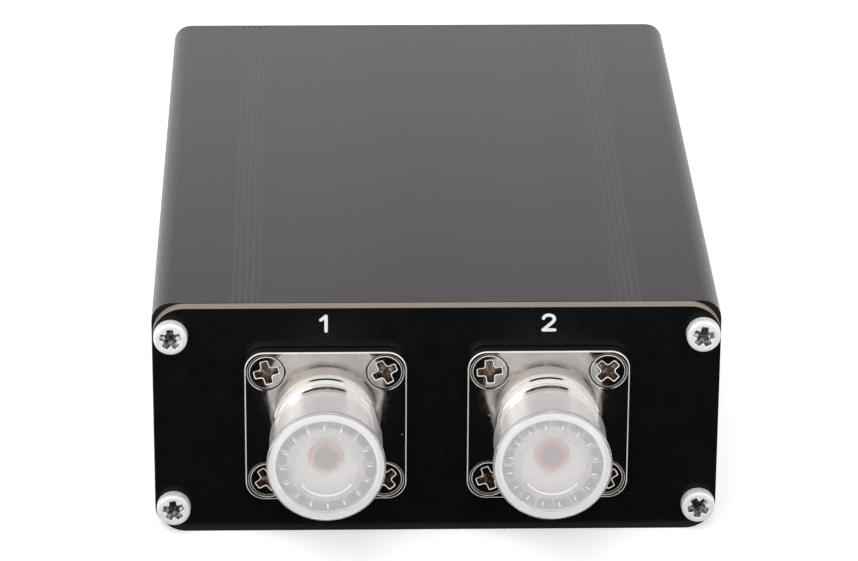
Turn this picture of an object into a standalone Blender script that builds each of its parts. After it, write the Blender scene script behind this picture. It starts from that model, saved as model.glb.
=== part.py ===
"""Automatic antenna tuner: a split aluminium case, a connector panel, a control panel and a circuit board.

Metres, +Z up. The origin is the centre of the case's underside. The connector panel faces -Y and the
control panel faces +Y.
"""

from math import asin, cos, degrees, floor, pi, radians, sin, sqrt, tan

import bmesh
import bpy
from mathutils import Matrix

# Clearances
SEAT_GAP = 0.0002
RUNNING_GAP = 0.0003
FIT_GAP = 0.0001
OVERRUN = 0.001
MERGE_DISTANCE = 0.000001

# Case section and length
CASE_WIDTH = 0.088
CASE_HEIGHT = 0.038
CASE_LENGTH = 0.125
WALL = 0.002
CASE_CORNER_RADIUS = 0.003
SEAM_LAP = 0.0016
RIB_DEPTH = 0.0022
RIB_THICKNESS = 0.0012

# Fine grooves along the case
GROOVE_COUNT = 5
GROOVE_PITCH = 0.001
GROOVE_WIDTH = 0.0004
GROOVE_DEPTH = 0.0002
GROOVE_INSET = 0.0145

# Screw channels in the case corners
CHANNEL_SIDE_INSET = 0.003
CHANNEL_FACE_INSET = 0.0044
CHANNEL_RADIUS = 0.00135
CHANNEL_WALL = 0.0013
CHANNEL_SLOT = 0.001

# End panels and their corner screws
PANEL_THICKNESS = 0.002
PANEL_CORNER_RADIUS = 0.0048
PANEL_SIDE_MARGIN = 0.0002
CONTROL_PANEL_MARGIN = 0.001
HOLE_CLEARANCE = 0.0003
PANEL_SCREW_HEAD_RADIUS = 0.00265
PANEL_SCREW_HEAD_SIDE = 0.0012
PANEL_SCREW_HEAD_DOME = 0.0005
PANEL_SCREW_LENGTH = 0.0085
PANEL_SCREW_STAR_RADIUS = 0.0018
PANEL_SCREW_STAR_WAIST = 0.001
PANEL_SCREW_STAR_DEPTH = 0.001
STAR_LOBES = 5

# Coaxial sockets
SOCKET_OFFSET = 0.0172
FLANGE_SIDE = 0.0254
FLANGE_THICKNESS = 0.002
FLANGE_CORNER_RADIUS = 0.003
FLANGE_HOLE_SPACING = 0.0182
BARREL_LENGTH = 0.01366
THREAD_RADIUS = 0.00794
THREAD_DEPTH = 0.0006
THREAD_PITCH = 0.001058
NECK_LENGTH = 0.0021
NECK_RADIUS = 0.008
BORE_RADIUS = 0.0064
SPIGOT_RADIUS = 0.0076
SPIGOT_LENGTH = 0.0045
RIM_NOTCH_COUNT = 16
RIM_NOTCH_WIDTH = 0.00035
RIM_NOTCH_DEPTH = 0.0006

# Socket insulators and centre contacts
INSULATOR_RECESS = 0.003
INSULATOR_TAIL = 0.0005
CONTACT_RECESS = 0.0022
CONTACT_RADIUS = 0.0026
CONTACT_BORE_RADIUS = 0.002
CONTACT_BORE_DEPTH = 0.009
CONTACT_SLIT_WIDTH = 0.0004
CONTACT_SLIT_DEPTH = 0.005
PIN_RADIUS = 0.0015
PIN_OVERLAP = 0.005

# Flange screws and nuts
FLANGE_SCREW_HEAD_RADIUS = 0.00265
FLANGE_SCREW_HEAD_RIM = 0.0001
FLANGE_SCREW_SINK = 0.0001
FLANGE_SCREW_RADIUS = 0.0014
FLANGE_SCREW_TAIL = 0.001
COUNTERSINK_MARGIN = 0.00045
CROSS_LENGTH = 0.0034
CROSS_WIDTH = 0.001
CROSS_DEPTH = 0.0007
NUT_ACROSS_FLATS = 0.0055
NUT_THICKNESS = 0.0024

# Dust caps
CAP_FACE_THICKNESS = 0.0008
CAP_LIP_RADIUS = 0.0091
CAP_LIP_THICKNESS = 0.001
CAP_SKIRT_WALL = 0.0006
CAP_SKIRT_LENGTH = 0.0084
CAP_SKIRT_GAP = 0.00016
CAP_DISH_RADIUS = 0.0049
CAP_DISH_DEPTH = 0.0002

# Circuit board
BOARD_THICKNESS = 0.0016
BOARD_SETBACK = 0.0005
BOARD_MARGIN = 0.001
PART_SPACING = 0.0015
SOCKET_ZONE = 0.0085

# Shares of the room along the board, from the socket zone to the control board
RELAY_WIDTH_SHARE = 0.097
COIL_LENGTH_SHARE = 0.1065
TOROID_RADIUS_SHARE = 0.119
COUPLER_LENGTH_SHARE = 0.1284
CHIP_WIDTH_SHARE = 0.0713
CAPACITOR_RADIUS_SHARE = 0.038
REGULATOR_BODY_SHARE = 0.0875
REGULATOR_TAB_SHARE = 0.061

# Relays
RELAYS_PER_BANK = 7
RELAY_LENGTH = 0.0155
RELAY_HEIGHT = 0.0115
RELAY_SPACING = 0.0005
RELAY_BASE = 0.0012

# Coils, cores and chips
COIL_RADIUS = 0.0045
COIL_TURNS = 8
COIL_OFFSET = 0.0075
TOROID_BORE_RADIUS = 0.0065
TOROID_HEIGHT = 0.0095
TOROID_TURNS = 18
TOROID_WIRE = 0.0007
COUPLER_WIDTH = 0.014
COUPLER_HEIGHT = 0.0085
COUPLER_HOLE_RADIUS = 0.0021
COUPLER_HOLE_OFFSET = 0.0034
CHIP_LENGTH = 0.018
CHIP_HEIGHT = 0.0024
CAPACITOR_HEIGHT = 0.0115
CAPACITOR_RING_HEIGHT = 0.0016
CAPACITOR_RING_DEPTH = 0.0004
REGULATOR_WIDTH = 0.0102
REGULATOR_HEIGHT = 0.0045
REGULATOR_TAB_THICKNESS = 0.0013

# Battery
BATTERY_WIDTH = 0.034
BATTERY_LENGTH = 0.05
BATTERY_HEIGHT = 0.0085
BATTERY_EDGE = 0.0012

# Display
DISPLAY_OFFSET_SHARE = 0.318
WINDOW_WIDTH = 0.026
WINDOW_HEIGHT = 0.0085
WINDOW_CORNER_RADIUS = 0.0008
DISPLAY_GLASS_MARGIN = 0.0017
DISPLAY_GLASS_THICKNESS = 0.0015
DISPLAY_BASE_MARGIN = 0.001

# Push buttons
BUTTON_COUNT = 3
BUTTON_OFFSET_SHARE = 0.33
BUTTON_PITCH_SHARE = 0.216
BUTTON_RADIUS = 0.0025
BUTTON_PROTRUSION = 0.0015
BUTTON_COLLAR_WIDTH = 0.0008
BUTTON_COLLAR_THICKNESS = 0.0008
BUTTON_EDGE = 0.0003
BUTTON_TRAVEL = 0.00025
PLUNGER_RADIUS = 0.0016
PLUNGER_ENTRY = 0.0004
SWITCH_SIDE = 0.006
SWITCH_HEIGHT = 0.0035

# Rocker switch
ROCKER_INSET = 0.02
ROCKER_RADIUS = 0.006
ROCKER_SPAN = 0.0072
ROCKER_DISH_HEIGHT = 0.0022
ROCKER_TILT = radians(10)
ROCKER_PIN_RADIUS = 0.0008
ROCKER_PIN_LENGTH = 0.0005
ROCKER_PROTRUSION = 0.0012
ROCKER_BODY_WALL = 0.0008
ROCKER_BODY_FLOOR = 0.0015
ROCKER_BEZEL_WIDTH = 0.001
ROCKER_BEZEL_THICKNESS = 0.0015
ROCKER_BEZEL_RADIUS = 0.0008
TERMINAL_WIDTH = 0.0048
TERMINAL_THICKNESS = 0.0008
TERMINAL_LENGTH = 0.006
TERMINAL_OFFSET = 0.0035

# Charging port
PORT_INSET = 0.024
PORT_WIDTH = 0.00894
PORT_HEIGHT = 0.00326
PORT_LENGTH = 0.0073
PORT_WALL = 0.0003
PORT_BACK = 0.001
PORT_TONGUE_WIDTH = 0.0065
PORT_TONGUE_THICKNESS = 0.0007
PORT_TONGUE_SETBACK = 0.0007

# Smoothness of round shapes
LARGE_STEPS = 28
SMALL_STEPS = 12
CORNER_STEPS = 5
DOME_STEPS = 3
CHANNEL_STEPS = 10
SHARP_ANGLE = radians(35)
RECESS_TURN = radians(12)
RING_START = 7

# Places worked out from the sizes above
MID_HEIGHT = CASE_HEIGHT / 2
HALF_WIDTH = CASE_WIDTH / 2
INNER_SIDE = HALF_WIDTH - WALL
CHANNEL_X = HALF_WIDTH - CHANNEL_SIDE_INSET
CHANNEL_Y = MID_HEIGHT - CHANNEL_FACE_INSET
CHANNEL_BLOCK = CHANNEL_RADIUS + CHANNEL_WALL
PANEL_BACK = SEAT_GAP
PANEL_FRONT = PANEL_BACK + PANEL_THICKNESS
FLANGE_BACK = PANEL_FRONT + SEAT_GAP
BOARD_TOP = MID_HEIGHT - PIN_RADIUS - SEAT_GAP
BOARD_UNDERSIDE = BOARD_TOP - BOARD_THICKNESS
TAIL_END = SPIGOT_LENGTH + INSULATOR_TAIL - FLANGE_BACK
BOARD_FRONT = -CASE_LENGTH / 2 + TAIL_END + BOARD_SETBACK
BOARD_BACK = CASE_LENGTH / 2 - RUNNING_GAP
BOARD_LENGTH = BOARD_BACK - BOARD_FRONT
BOARD_HALF_WIDTH = INNER_SIDE - FIT_GAP
CEILING = CASE_HEIGHT - WALL
SCREW_SHANK_RADIUS = CHANNEL_RADIUS - FIT_GAP

# Depths of the pieces behind the control panel
COLLAR_TOP = PANEL_BACK - RUNNING_GAP
COLLAR_BOTTOM = COLLAR_TOP - BUTTON_COLLAR_THICKNESS
SWITCH_TOP = COLLAR_BOTTOM - BUTTON_TRAVEL - RUNNING_GAP
CONTROL_BOARD_FRONT = SWITCH_TOP - SWITCH_HEIGHT - SEAT_GAP
CONTROL_BOARD_BACK = CONTROL_BOARD_FRONT - BOARD_THICKNESS

# Sizes that follow the room along the board
BOARD_ROOM = CASE_LENGTH / 2 + CONTROL_BOARD_BACK - BOARD_FRONT - SOCKET_ZONE - PART_SPACING
RELAY_WIDTH = BOARD_ROOM * RELAY_WIDTH_SHARE
COIL_LENGTH = BOARD_ROOM * COIL_LENGTH_SHARE
COIL_WIRE_RADIUS = COIL_LENGTH / COIL_TURNS / 2
TOROID_RADIUS = BOARD_ROOM * TOROID_RADIUS_SHARE
COUPLER_LENGTH = BOARD_ROOM * COUPLER_LENGTH_SHARE
CHIP_WIDTH = BOARD_ROOM * CHIP_WIDTH_SHARE
CAPACITOR_RADIUS = BOARD_ROOM * CAPACITOR_RADIUS_SHARE
REGULATOR_BODY_LENGTH = BOARD_ROOM * REGULATOR_BODY_SHARE
REGULATOR_TAB_LENGTH = BOARD_ROOM * REGULATOR_TAB_SHARE

# Places of the controls across the control end
DISPLAY_OFFSET = HALF_WIDTH * DISPLAY_OFFSET_SHARE
BUTTON_OFFSET = HALF_WIDTH * BUTTON_OFFSET_SHARE
BUTTON_PITCH = HALF_WIDTH * BUTTON_PITCH_SHARE
ROCKER_OFFSET = HALF_WIDTH - ROCKER_INSET
PORT_OFFSET = HALF_WIDTH - PORT_INSET


def clear_scene():
    """Remove every object, so the script can run in any open file."""
    for obj in list(bpy.data.objects):
        bpy.data.objects.remove(obj, do_unlink=True)


def new_collection(name):
    """Add a collection to the scene."""
    collection = bpy.data.collections.new(name)
    bpy.context.scene.collection.children.link(collection)
    return collection


def new_material(name, colour, roughness, metallic=0.0, alpha=1.0):
    """Principled material with a plain colour."""
    material = bpy.data.materials.new(name)
    material.use_nodes = True
    shader = material.node_tree.nodes["Principled BSDF"]
    shader.inputs["Base Color"].default_value = (*colour, 1.0)
    shader.inputs["Roughness"].default_value = roughness
    shader.inputs["Metallic"].default_value = metallic
    shader.inputs["Alpha"].default_value = alpha
    material.diffuse_color = (*colour, alpha)
    return material


clear_scene()
PARTS = new_collection("antenna_tuner")

BLACK_ANODISED = new_material("black_anodised_aluminium", (0.04, 0.04, 0.043), 0.35, 0.6)
PANEL_BLACK = new_material("black_panel_board", (0.012, 0.012, 0.012), 0.3)
NICKEL = new_material("bright_nickel", (0.62, 0.58, 0.54), 0.12, 1.0)
ZINC = new_material("bright_zinc", (0.72, 0.73, 0.75), 0.25, 1.0)
WHITE_INSULATOR = new_material("white_insulator", (0.85, 0.84, 0.8), 0.45)
BRASS = new_material("contact_brass", (0.6, 0.42, 0.2), 0.25, 1.0)
CLEAR_PLASTIC = new_material("milky_plastic", (0.85, 0.85, 0.88), 0.25, 0.0, 0.6)
BOARD_GREEN = new_material("green_circuit_board", (0.02, 0.14, 0.05), 0.4)
BLACK_PLASTIC = new_material("black_plastic", (0.015, 0.015, 0.016), 0.4)
BLUE_PLASTIC = new_material("blue_relay_plastic", (0.02, 0.09, 0.4), 0.35)
COPPER = new_material("enamelled_copper", (0.55, 0.2, 0.06), 0.25, 1.0)
RED_CORE = new_material("red_powder_core", (0.45, 0.03, 0.02), 0.5)
FERRITE = new_material("grey_ferrite", (0.06, 0.06, 0.065), 0.6)
SILVER_FOIL = new_material("battery_foil", (0.55, 0.56, 0.58), 0.35, 0.8)
CAN_SLEEVE = new_material("capacitor_sleeve", (0.01, 0.015, 0.05), 0.3)
DISPLAY_GLASS = new_material("display_glass", (0.005, 0.006, 0.01), 0.08)
STEEL = new_material("tinned_steel", (0.6, 0.6, 0.6), 0.25, 1.0)


def arc(centre, radius, start, end, steps):
    """Points along an arc, from one angle in degrees to the other."""
    angles = [radians(start + (end - start) * index / steps) for index in range(steps + 1)]
    return [(centre[0] + radius * cos(angle), centre[1] + radius * sin(angle)) for angle in angles]


def circle(centre, radius, steps):
    """Closed ring of points, started off the axes so that no two holes share an edge line."""
    return arc(centre, radius, RING_START, RING_START + 360, steps)[:-1]


def rectangle(width, height, radius=0.0, centre=(0.0, 0.0)):
    """Closed rectangle, with round corners where a radius is given."""
    if radius == 0.0:
        signs = [(1, 1), (-1, 1), (-1, -1), (1, -1)]
        return [(centre[0] + sx * width / 2, centre[1] + sy * height / 2) for sx, sy in signs]
    points = []
    for start, sx, sy in [(0, 1, 1), (90, -1, 1), (180, -1, -1), (270, 1, -1)]:
        corner = (centre[0] + sx * (width / 2 - radius), centre[1] + sy * (height / 2 - radius))
        points += arc(corner, radius, start, start + 90, CORNER_STEPS)
    return points


def cross_outline(length, width):
    """Plus sign of two equal bars."""
    tip = length / 2
    edge = width / 2
    quarter = [(tip, -edge), (tip, edge), (edge, edge)]
    points = []
    for turn in range(4):
        points += [rotated(point, turn * pi / 2) for point in quarter]
    return points


def rotated(point, angle):
    """Turn a flat point about the origin."""
    x, y = point
    return (x * cos(angle) - y * sin(angle), x * sin(angle) + y * cos(angle))


def star_outline(radius, waist, lobes):
    """Star whose points and valleys alternate."""
    points = []
    for index in range(2 * lobes):
        reach = radius if index % 2 == 0 else waist
        points.append(rotated((reach, 0.0), pi / 2 + index * pi / lobes))
    return points


def plate_curve(name, outline, thickness, holes=()):
    """Flat piece in local XY, centred on local Z, with its holes left open."""
    curve = bpy.data.curves.new(name, "CURVE")
    curve.dimensions = "2D"
    curve.fill_mode = "BOTH"
    curve.extrude = thickness / 2
    for loop in [outline, *holes]:
        spline = curve.splines.new("POLY")
        spline.points.add(len(loop) - 1)
        for point, (x, y) in zip(spline.points, loop):
            point.co = (x, y, 0.0, 1.0)
        spline.use_cyclic_u = True
    return curve


def turned_object(name, profile, steps, closed=False):
    """Body turned about local Z from (radius, height) points that run down its outer side."""
    mesh = bpy.data.meshes.new(name)
    points = [(radius, 0.0, height) for radius, height in profile]
    edges = [(index, index + 1) for index in range(len(points) - 1)]
    if closed:
        edges.append((len(points) - 1, 0))
    mesh.from_pydata(points, edges, [])
    obj = bpy.data.objects.new(name, mesh)
    turn = obj.modifiers.new("Turn", "SCREW")
    turn.steps = steps
    turn.render_steps = steps
    turn.use_merge_vertices = True
    turn.merge_threshold = MERGE_DISTANCE
    return obj


def baked(obj):
    """Mesh of an unlinked object with its modifiers applied; the object is removed."""
    bpy.context.scene.collection.objects.link(obj)
    graph = bpy.context.evaluated_depsgraph_get()
    mesh = bpy.data.meshes.new_from_object(obj.evaluated_get(graph))
    mesh.transform(obj.matrix_world)
    bpy.data.objects.remove(obj, do_unlink=True)
    shape = bmesh.new()
    shape.from_mesh(mesh)
    bmesh.ops.remove_doubles(shape, verts=shape.verts, dist=MERGE_DISTANCE)
    shape.to_mesh(mesh)
    shape.free()
    return mesh


def plate(name, outline, thickness, holes=(), offset=0.0):
    """Mesh of a flat piece whose middle plane lies at the given height."""
    mesh = baked(bpy.data.objects.new(name, plate_curve(name, outline, thickness, holes)))
    mesh.transform(Matrix.Translation((0.0, 0.0, offset)))
    return mesh


def turned(name, profile, steps, closed=False):
    """Mesh of a turned piece."""
    return baked(turned_object(name, profile, steps, closed))


def block(name, size, centre=(0.0, 0.0, 0.0), edge=0.0):
    """Box mesh, with bevelled edges where an edge width is given."""
    shape = bmesh.new()
    bmesh.ops.create_cube(shape, size=1.0, matrix=Matrix.Translation(centre) @ Matrix.Diagonal((*size, 1.0)))
    if edge:
        bmesh.ops.bevel(shape, geom=shape.edges, offset=edge, segments=2, profile=0.5, affect="EDGES")
    mesh = bpy.data.meshes.new(name)
    shape.to_mesh(mesh)
    shape.free()
    return mesh


def combined(base, tool, operation):
    """Boolean of two meshes; both are used up."""
    name = base.name
    base_object = bpy.data.objects.new(name, base)
    tool_object = bpy.data.objects.new(f"{name}_tool", tool)
    tool_object.hide_render = True
    tool_object.display_type = "WIRE"
    bpy.context.scene.collection.objects.link(tool_object)
    boolean = base_object.modifiers.new("Boolean", "BOOLEAN")
    boolean.operation = operation
    boolean.object = tool_object
    result = baked(base_object)
    bpy.data.objects.remove(tool_object, do_unlink=True)
    return result


def empty(name, location, rotation=(0.0, 0.0, 0.0)):
    """Frame that pieces are parented to."""
    obj = bpy.data.objects.new(name, None)
    obj.location = location
    obj.rotation_euler = rotation
    PARTS.objects.link(obj)
    return obj


def add_piece(name, data, material, parent=None, location=(0.0, 0.0, 0.0), rotation=(0.0, 0.0, 0.0)):
    """Place a mesh or a curve as one named piece."""
    if not data.materials:
        data.materials.append(material)
    if isinstance(data, bpy.types.Mesh):
        data.shade_smooth()
        data.set_sharp_from_angle(angle=SHARP_ANGLE)
    obj = bpy.data.objects.new(name, data)
    obj.location = location
    obj.rotation_euler = rotation
    obj.parent = parent
    PARTS.objects.link(obj)
    return obj


# Frames of the assembly: on an end frame X runs across, Y up and Z outward from the case's end
CONNECTOR_END = empty("connector_end", (0.0, -CASE_LENGTH / 2, MID_HEIGHT), (pi / 2, 0.0, 0.0))
CONTROL_END = empty("control_end", (0.0, CASE_LENGTH / 2, MID_HEIGHT), (pi / 2, 0.0, pi))
BOARD_DECK = empty("board_deck", (0.0, BOARD_FRONT, BOARD_TOP))


# Case

def channel_path():
    """Inner edge of the right corner block, from the side wall round the screw channel to the floor."""
    centre = (CHANNEL_X, CHANNEL_FACE_INSET)
    outer_half = degrees(asin(CHANNEL_SLOT / 2 / CHANNEL_BLOCK))
    inner_half = degrees(asin(CHANNEL_SLOT / 2 / CHANNEL_RADIUS))
    points = [(INNER_SIDE, CHANNEL_FACE_INSET + CHANNEL_BLOCK)]
    points += arc(centre, CHANNEL_BLOCK, 90, 135 - outer_half, CORNER_STEPS)
    points += arc(centre, CHANNEL_RADIUS, 135 - inner_half, inner_half - 225, CHANNEL_STEPS)
    points += arc(centre, CHANNEL_BLOCK, 135 + outer_half, 180, CORNER_STEPS)
    points.append((CHANNEL_X - CHANNEL_BLOCK, WALL))
    return points


def rib_path(shoulder):
    """Inner edge of the right wall, from the seam shoulder down past the two ribs of the board slot."""
    tip = INNER_SIDE - RIB_DEPTH
    slot_top = BOARD_TOP + FIT_GAP
    slot_floor = BOARD_UNDERSIDE - FIT_GAP
    return [
        (tip, shoulder),
        (tip, slot_top),
        (INNER_SIDE, slot_top),
        (INNER_SIDE, slot_floor),
        (tip, slot_floor),
        (tip, slot_floor - RIB_THICKNESS),
        (INNER_SIDE, slot_floor - RIB_THICKNESS),
    ]


def groove_path():
    """Underside edge from left to right, with two groups of V grooves."""
    points = []
    for side in (-1, 1):
        middle = side * (HALF_WIDTH - GROOVE_INSET)
        for index in range(GROOVE_COUNT):
            x = middle + (index - (GROOVE_COUNT - 1) / 2) * GROOVE_PITCH
            points += [(x - GROOVE_WIDTH / 2, 0.0), (x, GROOVE_DEPTH), (x + GROOVE_WIDTH / 2, 0.0)]
    return points


def shell_outline():
    """Section of one case half. Turned half a turn, the same section is the other half."""
    shoulder = MID_HEIGHT - SEAM_LAP / 2 - SEAT_GAP / 2
    lip = MID_HEIGHT + SEAM_LAP / 2 - SEAT_GAP / 2
    seam = HALF_WIDTH - WALL / 2
    corner = HALF_WIDTH - CASE_CORNER_RADIUS
    inner_right = rib_path(shoulder) + channel_path()
    inner_left = [(-x, z) for x, z in reversed(inner_right)]
    points = arc((-corner, CASE_CORNER_RADIUS), CASE_CORNER_RADIUS, 180, 270, CORNER_STEPS)
    points += groove_path()
    points += arc((corner, CASE_CORNER_RADIUS), CASE_CORNER_RADIUS, 270, 360, CORNER_STEPS)
    points += [(HALF_WIDTH, shoulder), (seam - SEAT_GAP / 2, shoulder), (seam - SEAT_GAP / 2, lip)]
    points += [(INNER_SIDE, lip), (INNER_SIDE, shoulder)]
    points += inner_right + inner_left
    points += [(-seam - SEAT_GAP / 2, shoulder), (-seam - SEAT_GAP / 2, lip), (-HALF_WIDTH, lip)]
    return points


def build_case():
    """Two equal extruded halves that lap at mid height."""
    outline = shell_outline()
    lower = plate_curve("lower_shell", outline, CASE_LENGTH)
    upper = plate_curve("upper_shell", outline, CASE_LENGTH)
    add_piece("lower_shell", lower, BLACK_ANODISED, None, (0.0, 0.0, 0.0), (pi / 2, 0.0, 0.0))
    add_piece("upper_shell", upper, BLACK_ANODISED, None, (0.0, 0.0, CASE_HEIGHT), (pi / 2, pi, 0.0))


# Fasteners

def with_recess(screw, outline, depth, top):
    """Screw with a recess cut down from the top of its head."""
    turned_outline = [rotated(point, RECESS_TURN) for point in outline]
    cut = plate("screw_recess", turned_outline, 2 * depth, (), top)
    return combined(screw, cut, "DIFFERENCE")


def panel_screw_mesh():
    """Domed corner screw with a star recess, its head's underside at height zero."""
    profile = []
    for index in range(DOME_STEPS + 1):
        angle = pi / 2 * index / DOME_STEPS
        height = PANEL_SCREW_HEAD_SIDE + PANEL_SCREW_HEAD_DOME * cos(angle)
        profile.append((PANEL_SCREW_HEAD_RADIUS * sin(angle), height))
    profile += [
        (PANEL_SCREW_HEAD_RADIUS, 0.0), (SCREW_SHANK_RADIUS, 0.0),
        (SCREW_SHANK_RADIUS, -PANEL_SCREW_LENGTH), (0.0, -PANEL_SCREW_LENGTH),
    ]
    star = star_outline(PANEL_SCREW_STAR_RADIUS, PANEL_SCREW_STAR_WAIST, STAR_LOBES)
    screw = turned("panel_screw", profile, SMALL_STEPS)
    return with_recess(screw, star, PANEL_SCREW_STAR_DEPTH, PANEL_SCREW_HEAD_SIDE + PANEL_SCREW_HEAD_DOME)


def flange_screw_mesh():
    """Countersunk screw with a cross recess, the face of its head at height zero."""
    neck = -FLANGE_SCREW_HEAD_RIM - FLANGE_SCREW_HEAD_RADIUS + FLANGE_SCREW_RADIUS
    grip = FLANGE_BACK + FLANGE_THICKNESS - FLANGE_SCREW_SINK
    tip = -grip - NUT_THICKNESS - FLANGE_SCREW_TAIL
    profile = [
        (0.0, 0.0), (FLANGE_SCREW_HEAD_RADIUS, 0.0), (FLANGE_SCREW_HEAD_RADIUS, -FLANGE_SCREW_HEAD_RIM),
        (FLANGE_SCREW_RADIUS, neck), (FLANGE_SCREW_RADIUS, tip), (0.0, tip),
    ]
    screw = turned("flange_screw", profile, SMALL_STEPS)
    return with_recess(screw, cross_outline(CROSS_LENGTH, CROSS_WIDTH), CROSS_DEPTH, 0.0)


def panel_screw_places():
    """Corner screw places on an end frame."""
    return [(sx * CHANNEL_X, sy * CHANNEL_Y) for sy in (1, -1) for sx in (-1, 1)]


def build_panel_screws():
    """Four corner screws at each end, in the case's screw channels."""
    mesh = panel_screw_mesh()
    for label, end in (("connector", CONNECTOR_END), ("control", CONTROL_END)):
        for number, (x, y) in enumerate(panel_screw_places(), 1):
            place = (x, y, PANEL_FRONT + SEAT_GAP)
            add_piece(f"{label}_panel_screw_{number}", mesh, ZINC, end, place)


# Connector end

def socket_axes():
    """Names and places of the two sockets."""
    return (("left", -SOCKET_OFFSET), ("right", SOCKET_OFFSET))


def flange_screw_places(axis_x):
    """Places of one flange's four screws."""
    half = FLANGE_HOLE_SPACING / 2
    return [(axis_x + sx * half, sy * half) for sy in (1, -1) for sx in (-1, 1)]


def panel_outline(margin=0.0):
    """Rounded outline of an end panel, with a margin to the case's top and underside."""
    return rectangle(CASE_WIDTH - 2 * PANEL_SIDE_MARGIN, CASE_HEIGHT - 2 * margin, PANEL_CORNER_RADIUS)


def corner_holes():
    """Holes for the corner screws."""
    radius = SCREW_SHANK_RADIUS + HOLE_CLEARANCE
    return [circle(place, radius, SMALL_STEPS) for place in panel_screw_places()]


def build_connector_panel():
    """Panel with a hole for each socket's spigot and for every screw."""
    holes = corner_holes()
    screw_hole = FLANGE_SCREW_RADIUS + HOLE_CLEARANCE
    for _, axis_x in socket_axes():
        holes.append(circle((axis_x, 0.0), SPIGOT_RADIUS + HOLE_CLEARANCE, LARGE_STEPS))
        holes += [circle(place, screw_hole, SMALL_STEPS) for place in flange_screw_places(axis_x)]
    panel = plate_curve("connector_panel", panel_outline(), PANEL_THICKNESS, holes)
    middle = PANEL_BACK + PANEL_THICKNESS / 2
    add_piece("connector_panel", panel, PANEL_BLACK, CONNECTOR_END, (0.0, 0.0, middle))


def barrel_profile():
    """Ring section of a socket: thread, neck and spigot outside, bore inside."""
    rim = FLANGE_THICKNESS + BARREL_LENGTH
    neck_top = FLANGE_THICKNESS + NECK_LENGTH
    root = THREAD_RADIUS - THREAD_DEPTH
    turns = floor((rim - neck_top) / THREAD_PITCH)
    points = [(root, rim)]
    for index in range(turns):
        top = rim - index * THREAD_PITCH
        points += [(THREAD_RADIUS, top - THREAD_PITCH / 2), (root, top - THREAD_PITCH)]
    points += [(root, neck_top), (NECK_RADIUS, neck_top), (NECK_RADIUS, FLANGE_THICKNESS / 2)]
    points += [(SPIGOT_RADIUS, FLANGE_THICKNESS / 2), (SPIGOT_RADIUS, -SPIGOT_LENGTH)]
    points += [(BORE_RADIUS, -SPIGOT_LENGTH), (BORE_RADIUS, rim)]
    return points


def rim_notch_cutter():
    """Ring of blocks that cut the notches of the rim."""
    shape = bmesh.new()
    rim = FLANGE_THICKNESS + BARREL_LENGTH
    reach = THREAD_RADIUS + OVERRUN - BORE_RADIUS + OVERRUN
    middle = (THREAD_RADIUS + BORE_RADIUS) / 2
    size = Matrix.Diagonal((reach, RIM_NOTCH_WIDTH, 2 * RIM_NOTCH_DEPTH, 1.0))
    for index in range(RIM_NOTCH_COUNT):
        turn = Matrix.Rotation(2 * pi * index / RIM_NOTCH_COUNT, 4, "Z")
        bmesh.ops.create_cube(shape, size=1.0, matrix=turn @ Matrix.Translation((middle, 0.0, rim)) @ size)
    mesh = bpy.data.meshes.new("rim_notches")
    shape.to_mesh(mesh)
    shape.free()
    return mesh


def countersink_cutter():
    """Four screw holes that widen to a cone at the flange's front."""
    hole = FLANGE_SCREW_RADIUS + HOLE_CLEARANCE
    mouth = FLANGE_SCREW_HEAD_RADIUS + COUNTERSINK_MARGIN
    profile = [
        (0.0, FLANGE_THICKNESS + FIT_GAP), (mouth + FIT_GAP, FLANGE_THICKNESS + FIT_GAP),
        (hole, FLANGE_THICKNESS - mouth + hole), (hole, -OVERRUN), (0.0, -OVERRUN),
    ]
    single = turned("countersink", profile, SMALL_STEPS)
    shape = bmesh.new()
    for x, y in flange_screw_places(0.0):
        copy = single.copy()
        copy.transform(Matrix.Translation((x, y, 0.0)))
        shape.from_mesh(copy)
    shape.to_mesh(single)
    shape.free()
    return single


def socket_shell_mesh():
    """Square flange and threaded barrel in one piece, with the flange's back at height zero."""
    opening = circle((0.0, 0.0), (BORE_RADIUS + SPIGOT_RADIUS) / 2, LARGE_STEPS)
    outline = rectangle(FLANGE_SIDE, FLANGE_SIDE, FLANGE_CORNER_RADIUS)
    flange = plate("socket_flange", outline, FLANGE_THICKNESS, [opening], FLANGE_THICKNESS / 2)
    flange = combined(flange, countersink_cutter(), "DIFFERENCE")
    barrel = turned("socket_barrel", barrel_profile(), LARGE_STEPS, closed=True)
    shell = combined(flange, barrel, "UNION")
    return combined(shell, rim_notch_cutter(), "DIFFERENCE")


def insulator_mesh():
    """Sleeve that fills the bore behind its recess."""
    top = FLANGE_THICKNESS + BARREL_LENGTH - INSULATOR_RECESS
    bottom = -SPIGOT_LENGTH - INSULATOR_TAIL
    outer = BORE_RADIUS - FIT_GAP
    inner = CONTACT_RADIUS + FIT_GAP
    profile = [(outer, top), (outer, bottom), (inner, bottom), (inner, top)]
    return turned("socket_insulator", profile, LARGE_STEPS, closed=True)


def contact_mesh():
    """Slit centre contact with a solder pin that reaches over the board."""
    top = FLANGE_THICKNESS + BARREL_LENGTH - CONTACT_RECESS
    bottom = -SPIGOT_LENGTH - INSULATOR_TAIL
    tip = bottom - BOARD_SETBACK - PIN_OVERLAP
    bore_floor = top - CONTACT_BORE_DEPTH
    profile = [
        (0.0, bore_floor), (CONTACT_BORE_RADIUS, bore_floor), (CONTACT_BORE_RADIUS, top),
        (CONTACT_RADIUS, top), (CONTACT_RADIUS, bottom), (PIN_RADIUS, bottom), (PIN_RADIUS, tip), (0.0, tip),
    ]
    slits = cross_outline(2 * (CONTACT_RADIUS + OVERRUN), CONTACT_SLIT_WIDTH)
    cutter = plate("contact_slits", slits, 2 * CONTACT_SLIT_DEPTH, (), top)
    return combined(turned("socket_contact", profile, SMALL_STEPS), cutter, "DIFFERENCE")


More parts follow.
